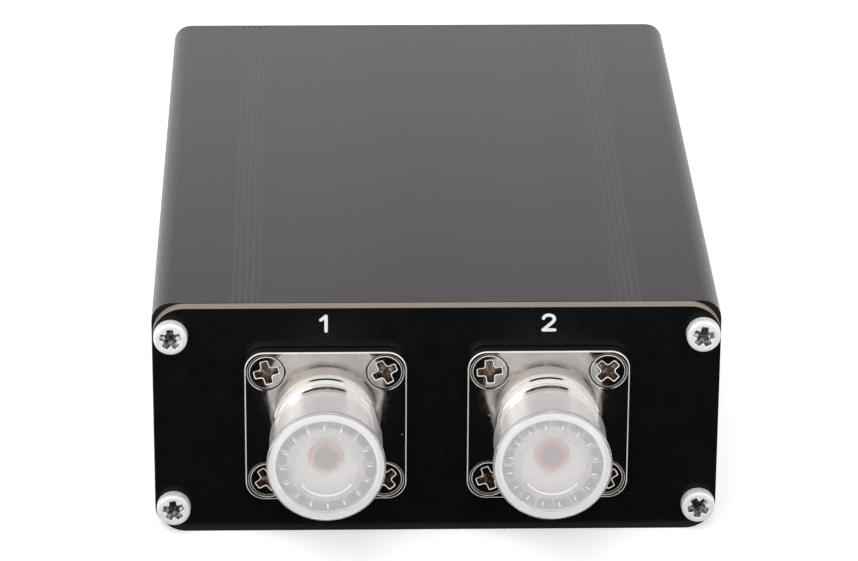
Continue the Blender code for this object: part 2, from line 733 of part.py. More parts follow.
def dust_cap_mesh():
    """Closed cap with a lip round its face, a shallow dish in the face and a skirt over the thread."""
    rim = FLANGE_THICKNESS + BARREL_LENGTH
    inner_face = rim + SEAT_GAP
    face = inner_face + CAP_FACE_THICKNESS
    inner = THREAD_RADIUS + CAP_SKIRT_GAP
    outer = inner + CAP_SKIRT_WALL
    end = rim - CAP_SKIRT_LENGTH
    profile = [
        (0.0, face - CAP_DISH_DEPTH), (CAP_DISH_RADIUS, face - CAP_DISH_DEPTH), (CAP_DISH_RADIUS, face),
        (CAP_LIP_RADIUS, face), (CAP_LIP_RADIUS, face - CAP_LIP_THICKNESS), (outer, face - CAP_LIP_THICKNESS),
        (outer, end), (inner, end), (inner, inner_face), (0.0, inner_face),
    ]
    return turned("dust_cap", profile, LARGE_STEPS)


def nut_mesh():
    """Hexagon nut."""
    corners = circle((0.0, 0.0), NUT_ACROSS_FLATS / sqrt(3), 6)
    hole = circle((0.0, 0.0), FLANGE_SCREW_RADIUS + FIT_GAP, SMALL_STEPS)
    return plate("flange_nut", corners, NUT_THICKNESS, [hole])


def build_sockets():
    """Two sockets with insulators, contacts, dust caps, flange screws and nuts."""
    shell = socket_shell_mesh()
    insulator = insulator_mesh()
    contact = contact_mesh()
    cap = dust_cap_mesh()
    nut = nut_mesh()
    screw = flange_screw_mesh()
    nut_height = PANEL_BACK - SEAT_GAP - NUT_THICKNESS / 2
    screw_height = FLANGE_BACK + FLANGE_THICKNESS - FLANGE_SCREW_SINK
    for side, axis_x in socket_axes():
        place = (axis_x, 0.0, FLANGE_BACK)
        add_piece(f"{side}_socket_shell", shell, NICKEL, CONNECTOR_END, place)
        add_piece(f"{side}_socket_insulator", insulator, WHITE_INSULATOR, CONNECTOR_END, place)
        add_piece(f"{side}_socket_contact", contact, BRASS, CONNECTOR_END, place)
        add_piece(f"{side}_dust_cap", cap, CLEAR_PLASTIC, CONNECTOR_END, place)
        for number, (x, y) in enumerate(flange_screw_places(axis_x), 1):
            add_piece(f"{side}_flange_screw_{number}", screw, NICKEL, CONNECTOR_END, (x, y, screw_height))
            add_piece(f"{side}_flange_nut_{number}", nut, NICKEL, CONNECTOR_END, (x, y, nut_height))


# Circuit board and what it carries

RAIL_EDGE = INNER_SIDE - RIB_DEPTH - BOARD_MARGIN
BANK_X = RAIL_EDGE - RELAY_LENGTH / 2
BANK_PITCH = RELAY_WIDTH + RELAY_SPACING
BANK_LENGTH = RELAYS_PER_BANK * BANK_PITCH - RELAY_SPACING
TOROID_REACH = TOROID_RADIUS + TOROID_WIRE
COUPLER_Y = SOCKET_ZONE + COUPLER_LENGTH / 2
COIL_Y = SOCKET_ZONE + COUPLER_LENGTH + PART_SPACING + COIL_LENGTH / 2
FIRST_TOROID_Y = COIL_Y + COIL_LENGTH / 2 + PART_SPACING + TOROID_REACH
SECOND_TOROID_Y = FIRST_TOROID_Y + 2 * TOROID_REACH + PART_SPACING
CHIP_Y = SECOND_TOROID_Y + TOROID_REACH + PART_SPACING + CHIP_WIDTH / 2
BANK_END = SOCKET_ZONE + BANK_LENGTH


def relay_bank_outline():
    """Side view of a row of relays on a shared base strip."""
    points = [(0.0, 0.0), (BANK_LENGTH, 0.0)]
    for index in reversed(range(RELAYS_PER_BANK)):
        start = index * BANK_PITCH
        points += [(start + RELAY_WIDTH, RELAY_HEIGHT), (start, RELAY_HEIGHT)]
        if index:
            points += [(start, RELAY_BASE), (start - RELAY_SPACING, RELAY_BASE)]
    return points


def build_board():
    """Main board, held by its long edges in the case's slots."""
    outline = rectangle(2 * BOARD_HALF_WIDTH, BOARD_LENGTH)
    board = plate_curve("main_board", outline, BOARD_THICKNESS)
    place = (0.0, BOARD_LENGTH / 2, -BOARD_THICKNESS / 2)
    add_piece("main_board", board, BOARD_GREEN, BOARD_DECK, place)


def build_relays():
    """Two rows of relays and the relay that picks the side of the network."""
    bank = plate("relay_bank", relay_bank_outline(), RELAY_LENGTH)
    upright = (pi / 2, 0.0, pi / 2)
    for label, x in (("capacitor", -BANK_X), ("inductor", BANK_X)):
        place = (x, SOCKET_ZONE, SEAT_GAP)
        add_piece(f"{label}_relay_bank", bank, BLUE_PLASTIC, BOARD_DECK, place, upright)
    relay = block("side_relay", (RELAY_LENGTH, RELAY_WIDTH, RELAY_HEIGHT))
    place = (-BANK_X, BANK_END + PART_SPACING + RELAY_WIDTH / 2, SEAT_GAP + RELAY_HEIGHT / 2)
    add_piece("side_relay", relay, BLUE_PLASTIC, BOARD_DECK, place)


def coil_mesh():
    """Air coil as a ribbed sleeve, one rib for each turn."""
    wire = 2 * COIL_WIRE_RADIUS
    inner = COIL_RADIUS - wire
    root = COIL_RADIUS - COIL_WIRE_RADIUS
    points = [(root, COIL_LENGTH)]
    for index in range(COIL_TURNS):
        top = COIL_LENGTH - index * wire
        points += [(COIL_RADIUS, top - COIL_WIRE_RADIUS), (root, top - wire)]
    points += [(inner, 0.0), (inner, COIL_LENGTH)]
    return turned("air_coil", points, SMALL_STEPS, closed=True)


def toroid_mesh():
    """Wound ring core whose outer edge shows the turns."""
    outline = []
    for index in range(TOROID_TURNS):
        turn = 2 * pi * index / TOROID_TURNS
        outline.append(rotated((TOROID_RADIUS, 0.0), turn))
        outline.append(rotated((TOROID_REACH, 0.0), turn + pi / TOROID_TURNS))
    hole = circle((0.0, 0.0), TOROID_BORE_RADIUS, SMALL_STEPS)
    return plate("toroid", outline, TOROID_HEIGHT, [hole], TOROID_HEIGHT / 2)


def build_inductors():
    """Air coils and ring cores down the middle of the board."""
    coil = coil_mesh()
    for label, side in (("first", -1), ("second", 1)):
        place = (side * COIL_OFFSET, COIL_Y + COIL_LENGTH / 2, SEAT_GAP + COIL_RADIUS)
        add_piece(f"{label}_air_coil", coil, COPPER, BOARD_DECK, place, (pi / 2, 0.0, 0.0))
    toroid = toroid_mesh()
    for label, y in (("first", FIRST_TOROID_Y), ("second", SECOND_TOROID_Y)):
        add_piece(f"{label}_toroid", toroid, RED_CORE, BOARD_DECK, (0.0, y, SEAT_GAP))


def build_coupler():
    """Two-hole core of the transformer that senses forward and reflected power."""
    holes = [circle((side * COUPLER_HOLE_OFFSET, 0.0), COUPLER_HOLE_RADIUS, SMALL_STEPS) for side in (-1, 1)]
    mesh = plate("coupler_core", rectangle(COUPLER_WIDTH, COUPLER_HEIGHT), COUPLER_LENGTH, holes)
    place = (0.0, COUPLER_Y, SEAT_GAP + COUPLER_HEIGHT / 2)
    add_piece("coupler_core", mesh, FERRITE, BOARD_DECK, place, (pi / 2, 0.0, 0.0))


def capacitor_mesh():
    """Upright electrolytic can with a crimp ring near its foot."""
    waist = CAPACITOR_RADIUS - CAPACITOR_RING_DEPTH
    ring_top = CAPACITOR_RING_HEIGHT + 2 * CAPACITOR_RING_DEPTH
    ring_bottom = CAPACITOR_RING_HEIGHT - 2 * CAPACITOR_RING_DEPTH
    profile = [
        (0.0, CAPACITOR_HEIGHT), (CAPACITOR_RADIUS, CAPACITOR_HEIGHT), (CAPACITOR_RADIUS, ring_top),
        (waist, CAPACITOR_RING_HEIGHT), (CAPACITOR_RADIUS, ring_bottom), (CAPACITOR_RADIUS, 0.0), (0.0, 0.0),
    ]
    return turned("filter_capacitor", profile, SMALL_STEPS)


def regulator_mesh():
    """Flat regulator lying on the board, with its metal tab."""
    length = REGULATOR_BODY_LENGTH + REGULATOR_TAB_LENGTH
    outline = [
        (0.0, 0.0), (length, 0.0), (length, REGULATOR_TAB_THICKNESS),
        (REGULATOR_BODY_LENGTH, REGULATOR_TAB_THICKNESS), (REGULATOR_BODY_LENGTH, REGULATOR_HEIGHT),
        (0.0, REGULATOR_HEIGHT),
    ]
    return plate("voltage_regulator", outline, REGULATOR_WIDTH)


def build_supply_and_logic():
    """Chip, filter capacitor and regulator beyond the coils and relays."""
    chip = block("microcontroller", (CHIP_LENGTH, CHIP_WIDTH, CHIP_HEIGHT))
    place = (0.0, CHIP_Y, SEAT_GAP + CHIP_HEIGHT / 2)
    add_piece("microcontroller", chip, BLACK_PLASTIC, BOARD_DECK, place)
    first_row = BANK_END + PART_SPACING
    capacitor_place = (RAIL_EDGE - CAPACITOR_RADIUS, first_row + CAPACITOR_RADIUS, SEAT_GAP)
    add_piece("filter_capacitor", capacitor_mesh(), CAN_SLEEVE, BOARD_DECK, capacitor_place)
    second_row = first_row + 2 * CAPACITOR_RADIUS + PART_SPACING
    regulator_place = (RAIL_EDGE - REGULATOR_WIDTH / 2, second_row, SEAT_GAP)
    upright = (pi / 2, 0.0, pi / 2)
    add_piece("voltage_regulator", regulator_mesh(), BLACK_PLASTIC, BOARD_DECK, regulator_place, upright)


def build_battery():
    """Flat cell on the case floor, under the board."""
    mesh = block("battery", (BATTERY_WIDTH, BATTERY_LENGTH, BATTERY_HEIGHT), edge=BATTERY_EDGE)
    add_piece("battery", mesh, SILVER_FOIL, None, (0.0, 0.0, WALL + SEAT_GAP + BATTERY_HEIGHT / 2))


# Control end

UPPER_CENTRE = (BOARD_TOP + CEILING) / 2 - MID_HEIGHT
LOWER_CENTRE = (BOARD_UNDERSIDE + WALL) / 2 - MID_HEIGHT
PORT_CENTRE = BOARD_UNDERSIDE - SEAT_GAP - PORT_HEIGHT / 2 - MID_HEIGHT
ROCKER_WELL_WIDTH = 2 * (ROCKER_RADIUS + RUNNING_GAP)
ROCKER_WELL_HEIGHT = ROCKER_SPAN + 2 * RUNNING_GAP
ROCKER_BODY_WIDTH = ROCKER_WELL_WIDTH + 2 * ROCKER_BODY_WALL
ROCKER_BODY_HEIGHT = ROCKER_WELL_HEIGHT + 2 * ROCKER_BODY_WALL
BEZEL_BACK = PANEL_FRONT + SEAT_GAP
BEZEL_FRONT = BEZEL_BACK + ROCKER_BEZEL_THICKNESS
ROCKER_PIVOT = BEZEL_FRONT + ROCKER_PROTRUSION - ROCKER_DISH_HEIGHT - ROCKER_RADIUS * tan(ROCKER_TILT)


def button_places():
    """Places of the push buttons on the control end."""
    return [(-BUTTON_OFFSET - index * BUTTON_PITCH, UPPER_CENTRE) for index in range(BUTTON_COUNT)]


def build_control_panel():
    """Panel with the display window and holes for the buttons, the rocker switch and the charging port."""
    holes = corner_holes()
    holes.append(rectangle(WINDOW_WIDTH, WINDOW_HEIGHT, WINDOW_CORNER_RADIUS, (DISPLAY_OFFSET, UPPER_CENTRE)))
    holes += [circle(place, BUTTON_RADIUS + FIT_GAP, SMALL_STEPS) for place in button_places()]
    cut_width = ROCKER_BODY_WIDTH + 2 * FIT_GAP
    cut_height = ROCKER_BODY_HEIGHT + 2 * FIT_GAP
    holes.append(rectangle(cut_width, cut_height, 0.0, (-ROCKER_OFFSET, LOWER_CENTRE)))
    port_width = PORT_WIDTH + 2 * FIT_GAP
    port_height = PORT_HEIGHT + 2 * FIT_GAP
    holes.append(rectangle(port_width, port_height, port_height / 2 - FIT_GAP, (PORT_OFFSET, PORT_CENTRE)))
    panel = plate_curve("control_panel", panel_outline(CONTROL_PANEL_MARGIN), PANEL_THICKNESS, holes)
    middle = PANEL_BACK + PANEL_THICKNESS / 2
    add_piece("control_panel", panel, PANEL_BLACK, CONTROL_END, (0.0, 0.0, middle))


def build_control_board():
    """Upright board on the main board, which carries the display and the button switches."""
    half_width = CHANNEL_X - CHANNEL_BLOCK - RUNNING_GAP
    bottom = BOARD_TOP + SEAT_GAP - MID_HEIGHT
    top = CEILING - RUNNING_GAP - MID_HEIGHT
    outline = rectangle(2 * half_width, top - bottom, 0.0, (0.0, (top + bottom) / 2))
    board = plate_curve("control_board", outline, BOARD_THICKNESS)
    place = (0.0, 0.0, (CONTROL_BOARD_FRONT + CONTROL_BOARD_BACK) / 2)
    add_piece("control_board", board, BOARD_GREEN, CONTROL_END, place)


def build_display():
    """Display glass behind the window, on a wider base that stands on the control board."""
    glass_width = WINDOW_WIDTH + 2 * DISPLAY_GLASS_MARGIN
    glass_height = WINDOW_HEIGHT + 2 * DISPLAY_GLASS_MARGIN
    front = PANEL_BACK - SEAT_GAP
    back = CONTROL_BOARD_FRONT + SEAT_GAP
    step = front - DISPLAY_GLASS_THICKNESS
    glass_size = (glass_width, glass_height, front - back)
    base_size = (glass_width + 2 * DISPLAY_BASE_MARGIN, glass_height, step - back)
    glass = block("display_module", glass_size, (0.0, 0.0, (front + back) / 2))
    base = block("display_base", base_size, (0.0, 0.0, (step + back) / 2))
    mesh = combined(glass, base, "UNION")
    add_piece("display_module", mesh, DISPLAY_GLASS, CONTROL_END, (DISPLAY_OFFSET, UPPER_CENTRE, 0.0))


def button_mesh():
    """Round cap with a collar behind the panel and a plunger that enters the switch."""
    top = PANEL_FRONT + BUTTON_PROTRUSION
    collar_radius = BUTTON_RADIUS + BUTTON_COLLAR_WIDTH
    tip = SWITCH_TOP - PLUNGER_ENTRY
    profile = [
        (0.0, top), (BUTTON_RADIUS - BUTTON_EDGE, top), (BUTTON_RADIUS, top - BUTTON_EDGE),
        (BUTTON_RADIUS, COLLAR_TOP), (collar_radius, COLLAR_TOP), (collar_radius, COLLAR_BOTTOM),
        (PLUNGER_RADIUS, COLLAR_BOTTOM), (PLUNGER_RADIUS, tip), (0.0, tip),
    ]
    return turned("button_cap", profile, SMALL_STEPS)


def tact_switch_mesh():
    """Square switch with the well that the plunger slides in."""
    well_depth = PLUNGER_ENTRY + BUTTON_TRAVEL + RUNNING_GAP
    middle = SWITCH_TOP - SWITCH_HEIGHT / 2
    base = block("tact_switch", (SWITCH_SIDE, SWITCH_SIDE, SWITCH_HEIGHT), (0.0, 0.0, middle))
    well = circle((0.0, 0.0), PLUNGER_RADIUS + FIT_GAP, SMALL_STEPS)
    cutter = plate("switch_well", well, 2 * well_depth, (), SWITCH_TOP)
    return combined(base, cutter, "DIFFERENCE")


def build_buttons():
    """Push buttons over their switches."""
    switch = tact_switch_mesh()
    button = button_mesh()
    for number, (x, y) in enumerate(button_places(), 1):
        add_piece(f"button_switch_{number}", switch, BLACK_PLASTIC, CONTROL_END, (x, y, 0.0))
        add_piece(f"button_{number}", button, BLACK_PLASTIC, CONTROL_END, (x, y, 0.0))


def rocker_body_mesh():
    """Switch body with a bezel, a well for the rocker, pivot holes and two terminals."""
    floor_height = ROCKER_PIVOT - ROCKER_RADIUS - RUNNING_GAP
    back = floor_height - ROCKER_BODY_FLOOR
    body_size = (ROCKER_BODY_WIDTH, ROCKER_BODY_HEIGHT, BEZEL_FRONT - back)
    body = block("rocker_switch_body", body_size, (0.0, 0.0, (BEZEL_FRONT + back) / 2))
    bezel_width = ROCKER_BODY_WIDTH + 2 * ROCKER_BEZEL_WIDTH
    bezel_height = ROCKER_BODY_HEIGHT + 2 * ROCKER_BEZEL_WIDTH
    outline = rectangle(bezel_width, bezel_height, ROCKER_BEZEL_RADIUS)
    bezel = plate("rocker_bezel", outline, ROCKER_BEZEL_THICKNESS, (), (BEZEL_FRONT + BEZEL_BACK) / 2)
    body = combined(body, bezel, "UNION")
    well_size = (ROCKER_WELL_WIDTH, ROCKER_WELL_HEIGHT, BEZEL_FRONT + OVERRUN - floor_height)
    well = block("rocker_well", well_size, (0.0, 0.0, (BEZEL_FRONT + OVERRUN + floor_height) / 2))
    body = combined(body, well, "DIFFERENCE")
    pin_span = ROCKER_SPAN + 2 * (RUNNING_GAP + ROCKER_PIN_LENGTH)
    bore = plate("pivot_bore", circle((0.0, 0.0), ROCKER_PIN_RADIUS + FIT_GAP, SMALL_STEPS), pin_span)
    bore.transform(Matrix.Translation((0.0, 0.0, ROCKER_PIVOT)) @ Matrix.Rotation(pi / 2, 4, "X"))
    body = combined(body, bore, "DIFFERENCE")
    for side in (-1, 1):
        size = (TERMINAL_THICKNESS, TERMINAL_WIDTH, TERMINAL_LENGTH + ROCKER_BODY_FLOOR / 2)
        middle = back + ROCKER_BODY_FLOOR / 2 - size[2] / 2
        terminal = block("rocker_terminal", size, (side * TERMINAL_OFFSET, 0.0, middle))
        body = combined(body, terminal, "UNION")
    return body


def rocker_mesh():
    """Rocker about its pivot: part of a cylinder under two faces that slope to the middle, and its pins."""
    rise = tan(ROCKER_TILT)
    base = ROCKER_DISH_HEIGHT
    reach = (-base * rise + sqrt(ROCKER_RADIUS ** 2 * (1 + rise ** 2) - base ** 2)) / (1 + rise ** 2)
    corner = degrees(asin((base + reach * rise) / ROCKER_RADIUS))
    outline = arc((0.0, 0.0), ROCKER_RADIUS, 180 - corner, 360 + corner, SMALL_STEPS)
    outline.append((0.0, base))
    body = plate("rocker", outline, ROCKER_SPAN)
    pin_span = ROCKER_SPAN + 2 * ROCKER_PIN_LENGTH
    pins = plate("rocker_pins", circle((0.0, 0.0), ROCKER_PIN_RADIUS, SMALL_STEPS), pin_span)
    return combined(body, pins, "UNION")


def build_rocker_switch():
    """Power switch whose rocker rests with its off side pressed in."""
    place = (-ROCKER_OFFSET, LOWER_CENTRE, 0.0)
    pivot = (-ROCKER_OFFSET, LOWER_CENTRE, ROCKER_PIVOT)
    add_piece("rocker_switch_body", rocker_body_mesh(), BLACK_PLASTIC, CONTROL_END, place)
    add_piece("rocker", rocker_mesh(), BLACK_PLASTIC, CONTROL_END, pivot, (pi / 2, -ROCKER_TILT, 0.0))


def port_mesh():
    """Oval metal mouth with a contact tongue inside, its mouth at height zero."""
    outline = rectangle(PORT_WIDTH, PORT_HEIGHT, PORT_HEIGHT / 2 - FIT_GAP)
    shell = plate("charging_port", outline, PORT_LENGTH, (), -PORT_LENGTH / 2)
    inner_height = PORT_HEIGHT - 2 * PORT_WALL
    inner = rectangle(PORT_WIDTH - 2 * PORT_WALL, inner_height, inner_height / 2 - FIT_GAP)
    cavity_depth = PORT_LENGTH - PORT_BACK
    shell = combined(shell, plate("port_cavity", inner, 2 * cavity_depth), "DIFFERENCE")
    tongue_length = cavity_depth - PORT_TONGUE_SETBACK + PORT_BACK / 2
    middle = -PORT_TONGUE_SETBACK - tongue_length / 2
    tongue_size = (PORT_TONGUE_WIDTH, PORT_TONGUE_THICKNESS, tongue_length)
    tongue = block("port_tongue", tongue_size, (0.0, 0.0, middle))
    return combined(shell, tongue, "UNION")


def build_charging_port():
    """Charging port under the board's edge, its mouth just inside the panel's face."""
    place = (PORT_OFFSET, PORT_CENTRE, PANEL_FRONT - FIT_GAP)
    add_piece("charging_port", port_mesh(), STEEL, CONTROL_END, place)


def build():
    """Build every piece of the tuner."""
    build_case()
    build_connector_panel()
    build_control_panel()
    build_panel_screws()
    build_sockets()
    build_board()
    build_relays()
    build_inductors()
    build_coupler()
    build_supply_and_logic()
    build_battery()
    build_control_board()
    build_display()
    build_buttons()
    build_rocker_switch()
    build_charging_port()


build()
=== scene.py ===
"""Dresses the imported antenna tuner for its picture.

The CAD model is the fixed frame. Each sub-assembly below builds finer meshes in the places of its CAD nodes, gives
every surface its finish, and lets each piece ride on the body that carries it.
"""

import logging
import math
from dataclasses import dataclass, replace
from enum import Enum
from functools import cache
from typing import Callable, Iterable, Sequence

import bmesh
import bpy
from mathutils import Matrix, Vector


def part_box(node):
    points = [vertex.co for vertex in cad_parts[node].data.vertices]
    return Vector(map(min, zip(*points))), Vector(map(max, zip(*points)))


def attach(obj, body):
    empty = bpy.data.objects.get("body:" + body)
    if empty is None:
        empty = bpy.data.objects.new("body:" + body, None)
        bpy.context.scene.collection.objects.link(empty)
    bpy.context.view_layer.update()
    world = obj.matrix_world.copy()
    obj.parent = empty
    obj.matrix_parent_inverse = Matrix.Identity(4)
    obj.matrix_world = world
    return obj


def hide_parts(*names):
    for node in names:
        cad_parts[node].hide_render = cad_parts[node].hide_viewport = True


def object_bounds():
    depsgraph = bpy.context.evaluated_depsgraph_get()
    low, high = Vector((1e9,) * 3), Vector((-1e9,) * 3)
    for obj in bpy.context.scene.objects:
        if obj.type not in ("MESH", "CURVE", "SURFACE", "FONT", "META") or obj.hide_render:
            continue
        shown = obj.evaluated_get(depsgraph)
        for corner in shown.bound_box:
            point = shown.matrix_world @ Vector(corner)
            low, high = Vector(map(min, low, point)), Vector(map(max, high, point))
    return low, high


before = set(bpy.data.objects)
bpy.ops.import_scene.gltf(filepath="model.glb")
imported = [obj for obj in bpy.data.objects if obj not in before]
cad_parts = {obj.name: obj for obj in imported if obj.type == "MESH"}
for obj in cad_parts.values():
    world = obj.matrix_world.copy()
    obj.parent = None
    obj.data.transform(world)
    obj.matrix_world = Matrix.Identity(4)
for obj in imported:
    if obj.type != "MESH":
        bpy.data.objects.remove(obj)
CAD_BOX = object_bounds()

log = logging.getLogger("antenna_tuner")

Pair = tuple[float, float]
Colour = tuple[float, float, float]
Triple = tuple[float, float, float]
Line = Sequence[tuple[float, ...]]
Mesh = bpy.types.Mesh
Face = bpy.types.MeshPolygon
Socket = bpy.types.NodeSocket
Value = Socket | float | Triple
Shape = bmesh.types.BMesh
Edge = bmesh.types.BMEdge
EdgeTest = Callable[[Edge], bool]

# Points nearer than MERGE are one, cutters reach past a face by REACH, and close neighbours stay CLEAR.
MERGE = 1e-6
REACH = 0.001
CLEAR = 0.00002
SMOOTH_ANGLE = math.radians(32)
FLAT_ANGLE = math.radians(0.5)
WORLD_Z = (0.0, 0.0, 1.0)
ORIGIN = (0.0, 0.0, 0.0)
EVEN = (1.0, 1.0, 1.0)
WHITE = (1.0, 1.0, 1.0)
WHOLE = (0.0, 1.0)
CLOUD_MIDDLE = (0.35, 0.65)
GRAIN_MIDDLE = (0.3, 0.7)
UPRIGHT = Matrix.Rotation(math.pi / 2, 4, "X")


class Joinery(Enum):
    """Ways to work one solid with another."""

    JOIN = "UNION"
    CUT = "DIFFERENCE"
    KEEP = "INTERSECT"


class End(Enum):
    """The two ends of the case, each with its turn about the case's upright axis."""

    CONNECTOR = 0.0
    CONTROL = math.pi

    def outward(self) -> Matrix:
        """Gives the turn that points a piece's own Z out of this end and its Y up."""
        return Matrix.Rotation(self.value, 4, "Z") @ UPRIGHT


# Finishes


class NodeSheet:
    """Node tree of a material or of the sky, with a short method for each kind of node it uses."""

    def __init__(self, owner: bpy.types.Material | bpy.types.World, shader: str = "BsdfPrincipled",
                 output: str = "OutputMaterial") -> None:
        """Starts a tree that holds only a shader and an output.

        Args:
            owner: Material or world that the tree belongs to.
            shader: Blender's name of the shader.
            output: Blender's name of the output.
        """
        owner.use_nodes = True
        self.tree = owner.node_tree
        self.tree.nodes.clear()
        self.shader = self.tree.nodes.new(f"ShaderNode{shader}")
        self.fill(self.tree.nodes.new(f"ShaderNode{output}"), {"Surface": self.shader.outputs[0]})

    def fill(self, node: bpy.types.Node, inputs: dict[str | int, Value]) -> None:
        """Links or sets inputs of a node.

        Args:
            node: The node.
            inputs: Socket, number or colour for each input.
        """
        for label, value in inputs.items():
            target = node.inputs[label]
            if isinstance(value, Socket):
                self.tree.links.new(value, target)
            else:
                target.default_value = (*value, 1.0) if target.type == "RGBA" else value

    def add(self, kind: str, result: str | int, inputs: dict[str | int, Value], **settings: str) -> Socket:
        """Adds a node.

        Args:
            kind: Blender's name of the node.
            result: Name or number of the output that is used.
            inputs: Socket, number or colour for each input.
            settings: Settings of the node itself.

        Returns:
            The output's socket.
        """
        node = self.tree.nodes.new(f"ShaderNode{kind}")
        for label, value in settings.items():
            setattr(node, label, value)
        self.fill(node, inputs)
        return node.outputs[result]

    def place(self, stretch: Triple = EVEN) -> Socket:
        """Gives the object's own coordinates, where a large stretch makes the pattern finer."""
        return self.add("Mapping", "Vector", {"Vector": self.add("TexCoord", "Object", {}), "Scale": stretch})

    def noise(self, where: Socket, scale: float, detail: float = 3.0) -> Socket:
        """Gives cloudy noise, with its features per metre and its number of finer layers."""
        return self.add("TexNoise", "Fac", {"Vector": where, "Scale": scale, "Detail": detail})

    def specks(self, where: Socket, scale: float) -> Socket:
        """Gives the distance to scattered points, so many per metre, as for dust and pits."""
        return self.add("TexVoronoi", "Distance", {"Vector": where, "Scale": scale})

    def spread(self, value: Socket, taken: Pair, given: Pair) -> Socket:
        """Maps the range of values that is taken to the range that is given."""
        ends = dict(zip(("From Min", "From Max", "To Min", "To Max"), (*taken, *given)))
        return self.add("MapRange", "Result", {"Value": value, **ends})

    def blend(self, share: Socket, first: Colour | Socket, second: Colour | Socket) -> Socket:
        """Mixes two colours by the share of the second one."""
        return self.add("Mix", 2, {0: share, 6: first, 7: second}, data_type="RGBA")

    def times(self, first: Socket, second: Socket) -> Socket:
        """Gives the product of two patterns."""
        return self.add("Math", "Value", {0: first, 1: second}, operation="MULTIPLY")

    def larger(self, first: Socket, second: Socket) -> Socket:
        """Gives the larger of two patterns."""
        return self.add("Math", "Value", {0: first, 1: second}, operation="MAXIMUM")

    def relief(self, height: Socket, depth: float) -> Socket:
        """Gives the normal of a surface that a pattern raises, up to a depth in metres."""
        return self.add("Bump", "Normal", {"Height": height, "Distance": depth})


@dataclass(frozen=True)
class Finish:
    """A surface's colour, gloss and fine texture.

    The colour wanders between two tones, the gloss between two values, and the relief is fine noise, stretched
    where the real surface has a grain.
    """

    name: str
    slot: str
    colour: Colour
    tone: Colour
    gloss: Pair
    metallic: float = 0.0
    cloud: float = 300.0
    grain: float = 4000.0
    depth: float = 0.000002
    stretch: Triple = EVEN
    ior: float = 1.5
    coat: float = 0.0
    transmission: float = 0.0
    specular: float = 0.5
    alpha: float = 1.0

    @cache
    def paint(self) -> bpy.types.Material:
        """Makes the finish's material, once.

        Returns:
            The material.
        """
        material = bpy.data.materials.new(self.name)
        self.lay(NodeSheet(material))
        return material

    def lay(self, sheet: NodeSheet) -> None:
        """Lays the finish on a node sheet.

        Args:
            sheet: The sheet of the finish's material.
        """
        where = sheet.place(self.stretch)
        clouds = sheet.noise(where, self.cloud, 4.0)
        fine = sheet.noise(where, self.grain)
        sheet.fill(sheet.shader, {
            "Base Color": sheet.blend(sheet.spread(clouds, CLOUD_MIDDLE, WHOLE), self.colour, self.tone),
            "Roughness": sheet.spread(fine, GRAIN_MIDDLE, self.gloss),
            "Normal": sheet.relief(fine, self.depth),
            "Metallic": self.metallic,
            "IOR": self.ior,
            "Coat Weight": self.coat,
            "Transmission Weight": self.transmission,
            "Specular IOR Level": self.specular,
            "Alpha": self.alpha,
        })


@dataclass(frozen=True)
class Laminate(Finish):
    """Cut edge of a glass-fibre board, with its layers as fine bands along the edge."""

    layer: float = 0.0002

    def lay(self, sheet: NodeSheet) -> None:
        """Lays the finish with bands across the board's thickness.

        Args:
            sheet: The sheet of the finish's material.
        """
        super().lay(sheet)
        bands = sheet.noise(sheet.place((1.0, 1.0 / self.layer, 1.0)), 1.0, 2.0)
        sheet.fill(sheet.shader, {
            "Base Color": sheet.blend(sheet.spread(bands, CLOUD_MIDDLE, WHOLE), self.colour, self.tone)})


@dataclass(frozen=True)
class Dusted(Finish):
    """A surface with a few specks of dust, which are matt also where they lie on metal."""

    dust: Colour = (0.4, 0.4, 0.4)
    spacing: float = 0.003
    speck: float = 0.03

    def lay(self, sheet: NodeSheet) -> None:
        """Lays the finish with its dust.

        Args:
            sheet: The sheet of the finish's material.
        """
        super().lay(sheet)
        where = sheet.place()
        near = sheet.spread(sheet.specks(where, 1.0 / self.spacing), (self.speck, 1.6 * self.speck), (1.0, 0.0))
        share = sheet.times(near, sheet.spread(sheet.noise(where, 0.4 / self.spacing), (0.48, 0.56), WHOLE))
        colour, gloss = (sheet.shader.inputs[label].links[0].from_socket for label in ("Base Color", "Roughness"))
        sheet.fill(sheet.shader, {"Base Color": sheet.blend(share, colour, self.dust),
                                  "Roughness": sheet.larger(share, gloss)})
        if self.metallic:
            sheet.fill(sheet.shader, {"Metallic": sheet.spread(share, WHOLE, (self.metallic, 0.0))})


ANODISED = Finish(
    "black_anodised_aluminium", "case_anodised", (0.053, 0.047, 0.053), (0.059, 0.053, 0.059), (0.32, 0.40),
    cloud=40.0, grain=5000.0, depth=1.5e-6, stretch=(1.0, 0.12, 1.0))
# A little lighter than the anodised faces, for the groove walls.
GROOVE = replace(
    ANODISED, name="anodised_groove_walls", colour=(0.066, 0.062, 0.066), tone=(0.084, 0.080, 0.084),
    gloss=(0.34, 0.42), cloud=60.0)
# Near black for the case's end faces: painted shade.
CASE_END_SHADE = Finish(
    "case_end_painted_shade", "case_anodised", (0.009, 0.008, 0.0085), (0.013, 0.012, 0.0125), (0.5, 0.6), grain=5000.0,
    specular=0.2)
MASK = Dusted(
    "black_solder_mask", "panel_black", (0.0034, 0.0034, 0.0036), (0.0046, 0.0046, 0.0048), (0.24, 0.32),
    grain=1500.0, depth=1e-6, specular=0.15, dust=(0.12, 0.12, 0.125), spacing=0.0042, speck=0.018)
BOARD_EDGE = Laminate(
    "cut_glass_fibre_edge", "panel_black", (0.34, 0.29, 0.255), (0.21, 0.178, 0.152), (0.55, 0.75), cloud=800.0,
    grain=6000.0, depth=2e-5)
INK = Finish(
    "white_legend_ink", "panel_black", (0.86, 0.87, 0.88), (0.78, 0.79, 0.80), (0.4, 0.55), cloud=1500.0,
    grain=9000.0, depth=4e-6)
